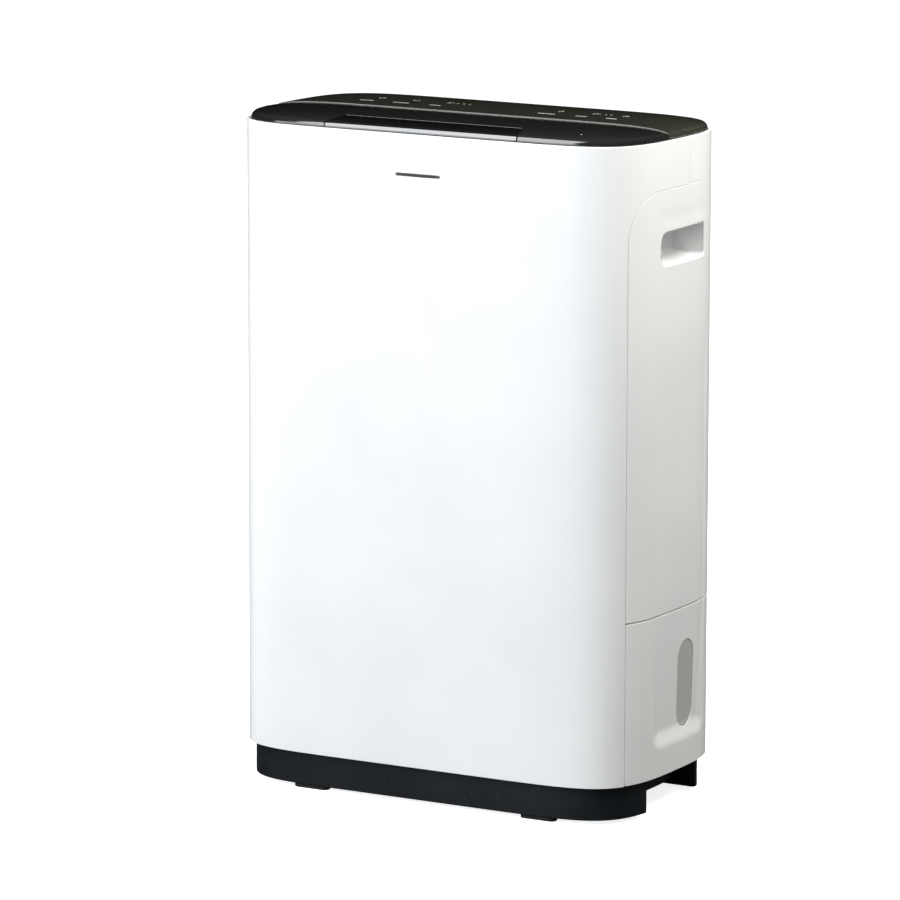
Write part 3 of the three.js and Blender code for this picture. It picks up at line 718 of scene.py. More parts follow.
def finned_metal(name, dark, light):
    """A stack of thin upright fins, seen edge on; the dark bands between them are painted shade in the
    gaps.
    """
    material = new_material(name, light, 0.4, Metallic=1.0)
    inputs = {"Vector": own_space(material), "Scale": 180, "Distortion": 0.4}
    fins_and_gap_shade = add_node(material, "TexWave", inputs, bands_direction="X").outputs["Fac"]
    # Painted shade: the colour darkens in the gaps between the fins.
    vary_color(material, fins_and_gap_shade, dark, light, 0.2, 0.7)
    add_bump(material, fins_and_gap_shade, 0.0006)
    vary_roughness(material, noise(material, 200, 2), 0.32, 0.5)
    return material


def circuit_board(name):
    material = new_material(name, (0.02, 0.14, 0.07), 0.4)
    inputs = {"Vector": own_space(material), "Scale": 120, "Mortar Size": 0.03}
    inputs["Color1"] = (0.02, 0.13, 0.06, 1)
    inputs["Color2"] = (0.03, 0.18, 0.09, 1)
    inputs["Mortar"] = (0.35, 0.28, 0.12, 1)
    bricks = add_node(material, "TexBrick", inputs)
    feed(material, "Base Color", bricks.outputs["Color"])
    add_bump(material, bricks.outputs["Fac"], 0.0002)
    return material


def speckled_plastic(name, dark, light, roughness):
    """Dark matt plastic with a little pale dust caught on its grain."""
    material = grained_plastic(name, dark, light, roughness)
    base = shader_of(material).inputs["Base Color"].links[0].from_socket
    inputs = {"Value": noise(material, 330, 5), "From Min": 0.70, "From Max": 0.80, "To Max": 0.22}
    dust = add_node(material, "MapRange", inputs)
    inputs = {"Factor": dust.outputs["Result"], "A": base, "B": (0.42, 0.42, 0.41, 1)}
    mix = add_node(material, "Mix", inputs, data_type="RGBA")
    feed(material, "Base Color", mix.outputs["Result"])
    return material


def lens_material():
    """A dark light bar, paler over the outer fifth of its length at each end."""
    material = new_material("lens_dark", (0.02, 0.022, 0.024), 0.25)
    split = add_node(material, "SeparateXYZ", {"Vector": own_space(material)})
    size = add_node(material, "Math", {0: split.outputs["X"]}, operation="ABSOLUTE")
    inputs = {"Value": size.outputs["Value"], "From Max": LENS_HIGH[0] * MM}
    reach = add_node(material, "MapRange", inputs).outputs["Result"]
    vary_color(material, reach, (0.012, 0.013, 0.014), (0.08, 0.083, 0.086), 0.8, 1)
    add_bump(material, noise(material, 300, 2), 0.00003)
    return material


white = gloss_plastic("white_gloss", (0.80, 0.81, 0.815), (0.84, 0.845, 0.84), 0.24, 0.25)
tank_inner = grained_plastic("tank_inner", (0.70, 0.71, 0.70), (0.78, 0.78, 0.77), 0.5)
lid_black = gloss_plastic("black_gloss", (0.0105, 0.0107, 0.0100), (0.0135, 0.0137, 0.0128), 0.15, 0.8)
# The flap is the same gloss black as the lid. This darker, glossier copy is painted shade for the
# darker reflection the flap shows.
flap_black_painted_shade = gloss_plastic("flap_black_painted_shade", (0.003, 0.003, 0.003), (0.004, 0.004, 0.004), 0.12, 1.0)
shader_of(flap_black_painted_shade).inputs["Specular IOR Level"].default_value = 0.8
panel_black = gloss_plastic("panel_black", (0.029, 0.0297, 0.022), (0.0335, 0.034, 0.026), 0.27, 1.0)
charcoal = speckled_plastic("charcoal", (0.0042, 0.006, 0.0077), (0.008, 0.0107, 0.0137), 0.5)
shader_of(charcoal).inputs["Specular IOR Level"].default_value = 0.2
grey_plastic = grained_plastic("grey_plastic", (0.20, 0.205, 0.205), (0.27, 0.275, 0.27), 0.55)
black_plastic = grained_plastic("black_plastic", (0.012, 0.012, 0.012), (0.022, 0.022, 0.021), 0.5)
rubber = grained_plastic("rubber", (0.010, 0.010, 0.011), (0.02, 0.02, 0.022), 0.8, 0.00012, 900)
window_grey = gloss_plastic("window_grey", (0.44, 0.445, 0.435), (0.48, 0.485, 0.47), 0.2)
lens_dark = lens_material()
mark_white = grained_plastic("mark_white", (0.34, 0.335, 0.31), (0.42, 0.41, 0.38), 0.55)
steel = brushed_metal("steel", (0.38, 0.39, 0.40), (0.55, 0.56, 0.57), 0.32, (1, 1, 0.1))
aluminium = finned_metal("aluminium", (0.30, 0.31, 0.32), (0.78, 0.79, 0.80))
can_metal = brushed_metal("can_metal", (0.55, 0.56, 0.57), (0.72, 0.73, 0.74), 0.35, (1, 1, 0.05))
copper = brushed_metal("copper", (0.55, 0.24, 0.13), (0.72, 0.36, 0.21), 0.3, (1, 1, 1))
enamel = gloss_plastic("black_enamel", (0.010, 0.011, 0.012), (0.02, 0.021, 0.023), 0.35)
circuit_green = circuit_board("circuit_green")
foam = grained_plastic("foam", (0.60, 0.58, 0.52), (0.72, 0.70, 0.64), 0.95, 0.0006, 320)


# ---------------------------------------------------------------- relief of the ends
def grip_relief(x, y, z):
    """Depth of the soft channel down each end, which deepens into the tank's grip scoop."""
    middle, half = sum(CHANNEL_Y) / 2, (CHANNEL_Y[1] - CHANNEL_Y[0]) / 2
    across = np.abs(y - middle) - half + CHANNEL_CORNER
    below = SCOOP_BOTTOM - z + CHANNEL_CORNER
    beyond = np.hypot(np.maximum(across, 0), np.maximum(below, 0))
    reach = CHANNEL_CORNER - beyond - np.minimum(np.maximum(across, below), 0)
    fall = np.clip((TANK_TOP + 4 - z) / SCOOP_RUN, 0, 1)
    depth = CHANNEL_DEPTH + (SCOOP_DEPTH - CHANNEL_DEPTH) * fall**1.15
    width = 6 + 11 * fall
    channel = depth * smooth(reach / width) * smooth((CHANNEL_TOP - z) / CHANNEL_FADE)
    crease = 0.25 * ridge(z, CREASE_Z, 6) * plateau(y, -42, 62, 16)
    arch_groove = 0.2 * ridge(z, ARCH_TOP, 0.4)
    arch_groove = arch_groove * smooth((y - SPLIT_Y) / 2) * smooth((ARCH_END_Y - y) / 8)
    return np.where(np.abs(x) > HALF_X * 0.8, channel + crease + arch_groove, 0)


def front_relief(x, y, z):
    """A hairline rib on each side of the status bar."""
    rib = -0.16 * plateau(np.abs(x), *RIB_X, 3) * ridge(z, LENS_MIDDLE, 0.7)
    return np.where(y < SEAM_Y, rib, 0)


casing = Wall()
front_wall = Wall(relief=front_relief)
end_wall = Wall(relief=grip_relief)
cap = Cap()


# ---------------------------------------------------------------- front and rear shell
def end_s(y, side):
    """Distance round the wall to y on its right-hand end, side 1, or its left-hand one, -1."""
    return casing.at_y(y) if side > 0 else casing.length - casing.at_y(y)


def on_end(path_yz, side):
    """A path in (y, z) laid on one end of the wall."""
    return np.stack([end_s(path_yz[:, 0], side), path_yz[:, 1]], 1)


def on_back(loop_xz):
    """A loop in (x, z) laid on the back of the wall."""
    return np.stack([casing.length / 2 - casing.at_x(loop_xz[:, 0]), loop_xz[:, 1]], 1)


def arch_path(offset, bottom):
    """Edge between the shells on the right-hand end, from bottom up to the rim, as (s, z)."""
    centre_y, centre_z = ARCH_CENTRE
    turn = np.radians(np.linspace(180, 90, 28))
    arc_y = centre_y + (ARCH_RADII[0] - offset) * np.cos(turn)
    arc_z = centre_z + (ARCH_RADII[1] - offset) * np.sin(turn)
    upright = np.array([[arc_y[0], bottom], [arc_y[0], centre_z]])
    split_y, flat_z = SPLIT_Y + offset, arc_z[-1]
    sides = [
        np.concatenate([upright, np.stack([arc_y, arc_z], 1)[1:], [[split_y, flat_z]]]),
        np.array([[split_y, flat_z], [split_y, rim_at(split_y) - RIM_DROP]]),
    ]
    return [on_end(spaced(side, 6), 1) for side in sides]


def rim_path(start, end):
    s = casing.stations(start, end, *EDGE_STATIONS)
    return np.stack([s, rim_at(casing.xy(s)[1]) - RIM_DROP], 1)


def level_path(s, z):
    return np.stack([s, np.full(len(s), float(z))], 1)


def band_sides(wall, start, end, z_span):
    """The four sides of a band round the wall, from start to end."""
    s = wall.stations(start, end, *EDGE_STATIONS)
    low, high = z_span
    return [
        level_path(s, low),
        [(end, low), (end, high)],
        level_path(s[::-1], high),
        [(start, high), (start, low)],
    ]


def flip(path, about=0.0):
    """A path on the right-hand end moved to the left-hand end, run the other way."""
    return (np.asarray(path) * [-1, 1] + [about, 0])[::-1]


def seam_lip(path, depth=0.8, half_width=0.5):
    """The tongue that closes the gap beside an edge of the front panel, a little way in."""
    ahead = unit(np.gradient(path, axis=0))
    side = np.stack([ahead[:, 1], -ahead[:, 0]], 1) * half_width
    near_edge, far_edge = (Sunk(casing, depth)(path + side * way) for way in (-1, 1))
    return [ring_patch(*zip(near_edge, far_edge), closed=False)]


def build_front_shell():
    upright, split = arch_path(0, SHELL_BOTTOM)
    seam, top = upright[0, 0], split[-1, 0]
    sides = [
        level_path(casing.stations(-seam, seam, *EDGE_STATIONS), SHELL_BOTTOM),
        upright,
        split,
        rim_path(top, -top),
        flip(split),
        flip(upright),
    ]
    slot_x = LENS_HIGH[0] + GAP
    slot_z = LENS_LOW[2] - SEAM_GAP, LENS_HIGH[2] + SEAM_GAP
    slot = rectangle((-slot_x, slot_x), slot_z, 1.0, 3)
    grid = mesh_grid(casing.stations(-top, top), np.arange(SHELL_BOTTOM + 6, 596, 22))
    fine = [
        mesh_grid(np.arange(a, b, 3.0), LENS_MIDDLE + np.linspace(-2.4, 2.4, 13))
        for a, b in ((-99, -30), (31, 100))
    ]
    holes = [(slot, 0.3, PANEL_DEPTH)]
    patches = skin(front_wall, closed_outline(sides), grid, holes, roll=0.4, refine=fine)
    for path in (upright, split[:-3], flip(upright), flip(split)[3:]):
        patches += seam_lip(path)
    make_piece("front_panel", patches, [white], "housing", "front_shell")


def pocket(loop_yz, side):
    """The handle's recess, from the rolled edge of its opening to a filleted floor.

    Each of its levels is (distance in from the opening's edge, share of the way to the floor)."""
    levels = [(0.0, 0.0), (0.4, 0.2), (1.0, 0.5), (1.6, 0.8)]
    for angle in np.radians([0, 30, 60, 90]):
        levels.append((1.7 + 4 * (1 - math.cos(angle)), 0.86 + 0.14 * math.sin(angle)))
    away = outward(loop_yz)
    mouth = casing(on_end(loop_yz, 1))[0][:, 0] - 1.2
    rings = []
    for inset, share in levels:
        at = loop_yz - away * inset
        rings.append(np.column_stack([mouth + (HANDLE_FLOOR_X - mouth) * share, at]))
    rings = np.array(rings)
    along = np.roll(rings, -1, 1) - np.roll(rings, 1, 1)
    normals = unit(np.cross(np.gradient(rings, axis=0), along))
    toward = rings.mean((0, 1)) - rings
    toward[..., 0] = 12
    if np.mean(np.sum(normals * toward, -1)) < 0:
        normals = -normals
    spots, triangles = triangulated([rings[-1][:, 1:]], mode=1)
    floor = np.column_stack([np.full(len(spots), float(HANDLE_FLOOR_X)), spots])
    floor_normals = np.tile([1.0, 0.0, 0.0], (len(spots), 1))
    patches = [ring_patch(rings, normals), patch(floor, floor_normals, triangles)]
    mirror = [side, 1, 1]
    return [patch(p["position"] * mirror, p["normal"] * mirror, p["faces"]) for p in patches]


def scoop_grid(side, heights):
    """Points over the channel of one end, closer together along its two soft edges."""
    y = np.concatenate([np.arange(-49, -28, 1.2), np.arange(-28, 44, 5), np.arange(44, 66, 1.2)])
    return mesh_grid(end_s(y, side), heights)


def build_rear_shell():
    upright, split = arch_path(SEAM_GAP, REAR_BOTTOM)
    seam, top = upright[0, 0], split[-1, 0]
    whole = casing.length
    sides = [
        level_path(casing.stations(seam, whole - seam, *EDGE_STATIONS), REAR_BOTTOM),
        flip(upright, whole)[::-1],
        flip(split, whole)[::-1],
        rim_path(whole - top, top),
        split[::-1],
        upright[::-1],
    ]
    grip = rounded_rectangle(HANDLE_Y, HANDLE_Z, HANDLE_CORNERS[0], 8, HANDLE_CORNERS[1])
    holes = [(on_end(grip, side), 1.2, 1.4) for side in (-1, 1)]
    half = GRILLE_HIGH[0] + GAP
    intake = rectangle((-half, half), (GRILLE_LOW[2] - GAP, GRILLE_HIGH[2] + GAP), 3)
    holes.append((on_back(intake), 0.8, PANEL_DEPTH))
    holes.append((on_back(circle(SPOUT_CENTRE, SPOUT_HOLE)), 0.6, PANEL_DEPTH))
    holes.append((on_back(circle(GLAND_CENTRE, GLAND_HOLE)), 0.6, PANEL_DEPTH))
    holes += [(on_back(circle(spot, SCREW_HOLE, 28)), 0.5, 4) for spot in REAR_SCREWS]
    grid = mesh_grid(casing.stations(seam, whole - seam), np.arange(REAR_BOTTOM + 6, 590, 18))
    groove_y = np.arange(SPLIT_Y + 3, ARCH_END_Y + 2, 2.5)
    fine = []
    for side in (-1, 1):
        fine.append(scoop_grid(side, np.arange(REAR_BOTTOM + 1, CHANNEL_TOP + 8, 9)))
        fine.append(scoop_grid(side, np.arange(511, 540, 1.6)))
        fine.append(mesh_grid(end_s(groove_y, side), ARCH_TOP + np.linspace(-1.6, 1.6, 17)))
    patches = skin(end_wall, closed_outline(sides), grid, holes, roll=0.4, refine=fine)
    for side in (-1, 1):
        patches += pocket(grip, side)
    make_piece("rear_panel", patches, [white], "housing", "rear_shell")


build_front_shell()
build_rear_shell()


# ---------------------------------------------------------------- tank
def window_loop(extra, side):
    """The window's outline on an end of the tank, made wider all round by extra."""
    (y0, y1), (z0, z1) = WINDOW_Y, WINDOW_Z
    y_span, z_span = (y0 - extra, y1 + extra), (z0 - extra, z1 + extra)
    return on_end(rounded_rectangle(y_span, z_span, (y1 - y0) / 2 + extra, 14), side)


def plan_slab(inset, front_y, count=260):
    """Points of the plan outline moved inwards that lie behind front_y."""
    curve = plan_curve(HALF_X - inset, HALF_Y - inset, 3000)[:-1]
    travel = travel_along(curve)
    chosen = np.searchsorted(travel, np.linspace(0, travel[-1], count)).clip(0, len(curve) - 1)
    slab = curve[np.unique(chosen)]
    return slab[slab[:, 1] > front_y]


def build_tank():
    seam = casing.at_y(SEAM_Y + SEAM_GAP)
    span = seam, casing.length - seam
    outline = closed_outline(band_sides(casing, *span, (TANK_BOTTOM, TANK_TOP)))
    holes = [(window_loop(0.3, side), 0.5, 2) for side in (-1, 1)]
    grid = mesh_grid(casing.stations(*span), np.arange(TANK_BOTTOM + 5, TANK_TOP, 16))
    fine = []
    for side in (-1, 1):
        fine.append(scoop_grid(side, np.arange(88, TANK_TOP - 1, 6)))
        fine.append(scoop_grid(side, np.arange(54, 87, 1.3)))
    patches = skin(end_wall, outline, grid, holes, roll=0.5, depth=TANK_WALL, refine=fine)
    end_x = casing.xy(casing.at_y(TANK_FRONT_Y))[0] - 0.6
    front = rectangle((-end_x, end_x), (TANK_BOTTOM, TANK_TOP), CORNER_CUT)
    grid = mesh_grid(np.arange(-180, 181, 30), np.arange(50, 170, 30))
    patches += skin(Upright(TANK_FRONT_Y), front, grid, roll=0.8, depth=TANK_WALL)
    under = plan_slab(1.2, TANK_FRONT_Y + 1) * [-1, 1]
    patches += skin(Level(TANK_BOTTOM + 0.1, up=False), under, NO_GRID, roll=0.6)
    make_piece("water_tank", patches, [white], "tank", "tank")
    for name, side in (("left", -1), ("right", 1)):
        loop = window_loop(-0.1, side)
        across = np.linspace(loop[:, 0].min(), loop[:, 0].max(), 9)
        grid = mesh_grid(across, np.linspace(*WINDOW_Z, 26))
        glass = skin(Sunk(end_wall, 0.35), loop, grid, roll=0.4, depth=2)
        node = f"tank_window_{name}"
        make_piece(f"level_window_{name}", glass, [window_grey], "tank", node)


def lid_relief(x, y):
    """Moulded ribs, and a sunk hand grip."""
    ribs = -0.8 * smooth(1 - np.abs(np.mod(x + 20, 40) - 20) / 1.6) * smooth((80 - np.abs(y)) / 4)
    ribs = ribs * plateau(np.abs(x), 64, 170, 4)
    grip = 2.2 * smooth((40 - np.abs(x)) / 4) * smooth((14 - np.abs(y - 20)) / 4)
    return ribs + grip


def build_tank_lid():
    top = box_mm("tank_lid")[1][2]
    outline = plan_slab(5.4, TANK_FRONT_Y + 3.2)
    grid = mesh_grid(np.arange(-190, 191, 4), np.arange(-70, 102, 4))
    holes = [(circle(DRIP_HOLE, 12, 48), 0.8, 2.6)]
    sheet = Level(top - 0.8, relief=lid_relief)
    patches = skin(sheet, outline, grid, holes, roll=0.6, depth=2)
    for x in EARS_X:
        patches += cuboid((x - 1.5, EARS_Y[0], EARS_FOOT), (x + 1.5, EARS_Y[1], top - 2))
    make_piece("tank_cover", patches, [tank_inner], "tank", "tank_lid")


build_tank()
build_tank_lid()


# ---------------------------------------------------------------- base and feet
def base_strip(wall, start, end, roll):
    """Part of the base's skirt, as a strip of the wall from start to end."""
    outline = closed_outline(band_sides(wall, start, end, (BASE_LOW, BASE_TOP)), BASE_CORNER)
    grid = mesh_grid(wall.stations(start, end), BASE_ROWS)
    return skin(wall, outline, grid, roll=roll, depth=BASE_WALL)


def build_base():
    plinth = Wall(PLINTH_INSET)
    reach = plinth.at_y(PLINTH_END_Y)
    patches = base_strip(plinth, -reach, reach, 1.0)
    foot = Wall(FOOT_INSET)
    start = foot.at_y(FOOT_FRONT_Y + 0.5)
    patches += base_strip(foot, start, foot.length - start, 0.8)
    half = foot.xy(start)[0]
    front = rectangle((-half, half), (BASE_LOW, BASE_TOP), BASE_CORNER)
    patches += skin(Upright(FOOT_FRONT_Y), front, NO_GRID, roll=0.8, depth=BASE_WALL)
    patches += prism(plan_slab(PLATE_INSET, -HALF_Y), (PLATE_LOW, BASE_TOP), 1.0)
    ledge = plan_curve(HALF_X - LEDGE_INSET, HALF_Y - LEDGE_INSET, 3000)[:-1:12]
    patches += prism(ledge[ledge[:, 1] < PLINTH_END_Y - 2], (LEDGE_LOW, BASE_TOP - 0.2), 0.6)
    make_piece("plinth", patches, [charcoal], "housing", "base")


def build_foot_pads():
    for corner in ("front_left", "front_right", "rear_left", "rear_right"):
        node = f"foot_pad_{corner}"
        low, high = box_mm(node)
        loop = rounded_rectangle((low[0], high[0]), (low[1], high[1]), 4.5)
        pad = prism(loop, (low[2], high[2]), 0.8)
        make_piece(f"rubber_foot_{corner}", pad, [rubber], "housing", node)


build_base()
build_foot_pads()


# ---------------------------------------------------------------- cap
perimeter = plan_curve(*cap.outer_half)[:-1]


def along_rim(start, end):
    """Part of the cap's outer edge between two points near it, anticlockwise."""
    first = np.argmin(np.linalg.norm(perimeter - start, axis=1))
    last = np.argmin(np.linalg.norm(perimeter - end, axis=1))
    if last <= first:
        last += len(perimeter)
    path = perimeter[np.arange(first, last + 1) % len(perimeter)]
    travel = travel_along(path)
    return resampled(path, travel, np.linspace(0, travel[-1], int(travel[-1] / 2.5) + 2))


def rim_crossing(start, direction):
    """Where a line in the cap's places leaves the cap."""
    start, direction = np.array(start, float), unit(np.array(direction, float))
    points = start + direction * np.linspace(0, 400, 40001)[:, None]
    half_x, half_y = cap.outer_half
    level = np.abs(points[:, 0] / half_x) ** END_POWER
    level += np.abs(points[:, 1] / half_y) ** FACE_POWER
    return points[np.argmax(level > 1)]


def cap_grid():
    """Points over the cap: an even grid, closer rows by the lid's seam and along the shoulder."""
    flat = mesh_grid(np.arange(-196, 197, 14), np.arange(-104, 105, 13))
    inner = flat[cap.level_of(*flat.T) < cap.SHOULDER * 0.9]
    rows = [inner, mesh_grid(np.arange(-182, 183, 14), np.arange(-43, -16, 2.5))]
    for reach in np.linspace(177, cap.outer_half[0] - 1, 15):
        level = (reach / cap.HALF[0]) ** END_POWER
        curve = plan_curve(reach, cap.HALF[1] * level ** (1 / FACE_POWER), 4000)[:-1]
        travel = travel_along(curve)
        rows.append(resampled(curve, travel, np.linspace(0, travel[-1], 300, endpoint=False)))
    return np.concatenate(rows)


def flap_corners(extra):
    """The flap's rear corner and the end of its side on the rim, both moved out by extra."""
    rear_half, front_half = (half + extra for half in FLAP_HALVES)
    rear_y = FLAP_REAR_Y + 2 * extra
    right = np.array([rear_half, rear_y])
    return right, rim_crossing(right, (front_half - rear_half, FLAP_FRONT_Y - rear_y))


def lid_sink(y):
    """How far the lid drops where it meets the touch panel, which stands proud of it."""
    return LID_SINK * smooth((y + 42) / 26)


def build_cap():
    grid = cap_grid()
    mirror = np.array([-1, 1])
    right, exit_right = flap_corners(GAP)
    seam_end = rim_crossing((0, CAP_SEAM_Y - CAP_SEAM_HALF), (1, 0))
    sides = [
        [seam_end, seam_end * mirror],
        along_rim(seam_end * mirror, exit_right * mirror),
        [exit_right * mirror, right * mirror],
        [right * mirror, right],
        [right, exit_right],
        along_rim(exit_right, seam_end),
    ]
    outline = closed_outline(sides, [3.2, 1.4, 2.0, 2.0, 1.4, 3.2], 4)
    lid = skin(Cap(lid_sink), outline, grid, roll=0.35)
    make_piece("cap_lid", lid, [lid_black], "housing", "top_lid")

    right, exit_right = flap_corners(-0.1)
    sides = [
        along_rim(exit_right * mirror, exit_right),
        [exit_right, right],
        [right, right * mirror],
        [right * mirror, exit_right * mirror],
    ]
    flap = skin(cap, closed_outline(sides, [1.4, 2.0, 2.0, 1.4], 4), grid, roll=0.5)
    # The flap wears the lid's black made darker: painted shade for its darker reflection.
    make_piece("flap_leaf", flap, [flap_black_painted_shade], "outlet_flap", "outlet_flap")

    seam_end = rim_crossing((0, CAP_SEAM_Y + CAP_SEAM_HALF), (1, 0))
    sides = [[seam_end * mirror, seam_end], along_rim(seam_end, seam_end * mirror)]
    panel = skin(cap, closed_outline(sides, 3.2, 4), grid)
    make_piece("touch_panel", panel, [panel_black], "housing", "control_panel")


build_cap()


# ---------------------------------------------------------------- marks on the touch panel
SYMBOL_Y = 35
SYMBOL_SHIFT = 3
RULE_Y = 12
RULE_WIDTH = 2.6
INDICATORS = (-40, -34, -28, 108, 113)
SMALL_DOT = (147, -83)


def stroke(points, width=0.8, closed=False):
    """A printed line through (x, y) points, laid just above the cap."""
    points = np.asarray(points, float)
    if closed:
        ahead = np.roll(points, -1, 0) - np.roll(points, 1, 0)
    else:
        ahead = np.gradient(points, axis=0)
    side = unit(np.stack([-ahead[:, 1], ahead[:, 0]], 1)) * width / 2
    rings, normals = [], []
    for edge in (points + side, points - side):
        position, normal = cap(edge)
        rings.append(position + normal * 0.05)
        normals.append(normal)
    return [ring_patch(rings, normals, closed=closed)]


def arc(x, y, radius, start, end, steps, width=0.8):
    turn = np.radians(np.linspace(start, end, steps))
    return stroke(np.stack([x + radius * np.cos(turn), y + radius * np.sin(turn)], 1), width)


def line(a, b, width=0.8):
    return stroke(spaced([a, b], 1.5), width)


def icon_power(x, y):
    return arc(x, y, 3, 120, 420, 20) + line((x, y + 0.5), (x, y + 4))


def icon_drop(x, y):
    turn = np.radians(np.linspace(0, 360, 28, endpoint=False))
    width = 2.6 * np.sin(turn) * np.sin(turn / 2) ** 1.1
    return stroke(np.stack([x + width, y + 3.4 * np.cos(turn)], 1), closed=True)


def icon_fan(x, y):
    patches = arc(x, y, 0.8, 0, 340, 12)
    for start in (0, 120, 240):
        a = math.radians(start)
        blade_x, blade_y = x + 2 * math.cos(a), y + 2 * math.sin(a)
        patches += arc(blade_x, blade_y, 1.6, start - 60, start + 120, 10)
    return patches


def icon_clock(x, y):
    return arc(x, y, 3.1, 0, 345, 26) + line((x, y), (x, y + 2)) + line((x, y), (x + 1.5, y))


def icon_mode(x, y):
    return arc(x, y, 3, 30, 190, 14) + arc(x, y, 3, 210, 370, 14)


def icon_lock(x, y):
    left, right, low, high = x - 2.2, x + 2.2, y - 2.6, y + 0.6
    body = [(left, low), (right, low), (right, high), (left, high), (left, low)]
    return stroke(spaced(body, 1.2)) + arc(x, high, 1.5, 0, 180, 10)


# Each key is its symbol, the x of its rule and the rule's half length
KEYS = [
    (icon_power, -120, 7),
    (icon_mode, -85, 8),
    (icon_fan, -50.5, 5.5),
    (icon_drop, 61, 8.5),
    (icon_clock, 95.5, 5.5),
    (icon_lock, 125, 5),
]


def build_marks():
    """Plain key symbols, each over a short rule, and two rows of indicator dots."""
    patches = []
    for draw, x, half in KEYS:
        patches += draw(x + SYMBOL_SHIFT, SYMBOL_Y)
        patches += line((x - half, RULE_Y), (x + half, RULE_Y), RULE_WIDTH)
    for x in INDICATORS:
        patches += arc(x, SYMBOL_Y, 0.7, 0, 330, 9, 1.2)
    patches += arc(*SMALL_DOT, 0.5, 0, 330, 9, 0.9)
    make_piece("panel_marks", patches, [mark_white], "housing")


build_marks()


# ---------------------------------------------------------------- status bar, grille and filter
def build_lens():
    loop = rectangle((LENS_LOW[0], LENS_HIGH[0]), (LENS_LOW[2], LENS_HIGH[2]), 0.9, 3)
    patches = skin(casing, loop, mesh_grid(np.arange(-20, 21, 4), [LENS_MIDDLE]), roll=0.4)
    make_piece("status_bar", patches, [lens_dark], "housing", "status_lens")


def build_grille():
    low, high = GRILLE_LOW, GRILLE_HIGH
    outline = on_back(rectangle((low[0], high[0]), (low[2], high[2]), 2.6))
    columns, rows, frame_width, rib = 3, 22, 9, 4.4
    cell_x = (high[0] - low[0] - frame_width) / columns
    cell_z = (high[2] - low[2] - frame_width) / rows
    holes = []
    for column in range(columns):
        for row in range(rows):
            x = low[0] + frame_width / 2 + column * cell_x
            z = low[2] + frame_width / 2 + row * cell_z
            x_span, z_span = (x + rib, x + cell_x - rib), (z + rib / 2, z + cell_z - rib / 2)
            holes.append((on_back(rounded_rectangle(x_span, z_span, 2.2, 4)), 0.7, PANEL_DEPTH))
    middle = casing.length / 2
    stations = casing.stations(middle - 140, middle + 140, 12)
    grid = mesh_grid(stations, np.arange(low[2] + 4, high[2], 11))
    patches = skin(casing, outline, grid, holes)
    make_piece("rear_grille", patches, [white], "intake_cover", "intake_grille")


def build_filter():
    """A frame of bars, and a screen of fine threads both ways."""
    low, high = box_mm("air_filter")
    patches = []
    cells, bar, thread, pitch = 4, 4.5, 0.7, 3.0
    width = (high[0] - low[0] - bar) / cells
    for i in range(cells + 1):
        x = low[0] + i * width
        patches += cuboid((x, low[1], low[2]), (x + bar, high[1], high[2]))
    for z in (low[2], (low[2] + high[2] - bar) / 2, high[2] - bar):
        patches += cuboid((low[0], low[1] + 0.1, z), (high[0], high[1] - 0.1, z + bar))
    middle = low[1] + 2.2
    for x in np.arange(low[0] + 6, high[0] - 5, pitch):
        patches += cuboid((x, middle, low[2] + 2), (x + thread, middle + 0.5, high[2] - 2), 1)
    for z in np.arange(low[2] + 6, high[2] - 5, pitch):
        near_y, far_y = middle + 0.3, middle + 0.8
        patches += cuboid((low[0] + 2, near_y, z), (high[0] - 2, far_y, z + thread), 1)
    materials = [charcoal, black_plastic]
    make_piece("filter_screen", patches, materials, "intake_cover", "air_filter")


build_lens()
build_grille()
build_filter()


# ---------------------------------------------------------------- rear fittings
def spout_profile(length):
    return [(5.5, 0), (9, 0), (9, length), (5.5, length), (5.5, 0)]


def plug_profile(length):
    stem, flange = length - 1.8, length - 0.7
    head = [(5, stem), (8, stem), (8, length), (5, length), (4.2, flange), (0, flange)]
    return [(0, 0), (4.4, 0), (5, 2), *head]


def gland_profile(length):
    return [(4, 0), (11, 0), (11, 3.6), (8, 3.6), (7.4, length), (4, length), (4, 0)]


def screw_profile(length):
    under, rim, recess = length - 1.5, length - 0.5, length - 0.9
    head = [(3.7, under), (3.5, rim), (1.5, length), (1.1, recess), (0, recess)]
    return [(0, 0), (1.2, 0), (1.8, 3), (1.8, under), *head]


def turned_patches(node, profile, edge, centre, steps=36):
    """A fitting turned round +y that stands where its CAD node does."""
    low, high = box_mm(node)
    shape = rounded_profile(profile(high[1] - low[1]), edge)
    return lathe(shape, (centre[0], low[1], centre[1]), steps)


def build_fittings():
    spout = turned_patches("drain_spout", spout_profile, 0.6, SPOUT_CENTRE)
    make_piece("drain_outlet", spout, [grey_plastic], "housing", "drain_spout")
    plug = turned_patches("drain_plug", plug_profile, 0.4, SPOUT_CENTRE)
    make_piece("drain_stopper", plug, [rubber], "drain_plug", "drain_plug")
    gland = turned_patches("cord_gland", gland_profile, 0.7, GLAND_CENTRE)
    make_piece("cord_grommet", gland, [rubber], "housing", "cord_gland")
    for place in ("lower_left", "lower_right", "upper_left", "upper_right"):
        node = f"rear_screw_{place}"
        low, high = box_mm(node)
        screw = turned_patches(node, screw_profile, 0.25, (low + high)[[0, 2]] / 2, 28)
        make_piece(f"case_{node}", screw, [steel], "housing", node)


build_fittings()


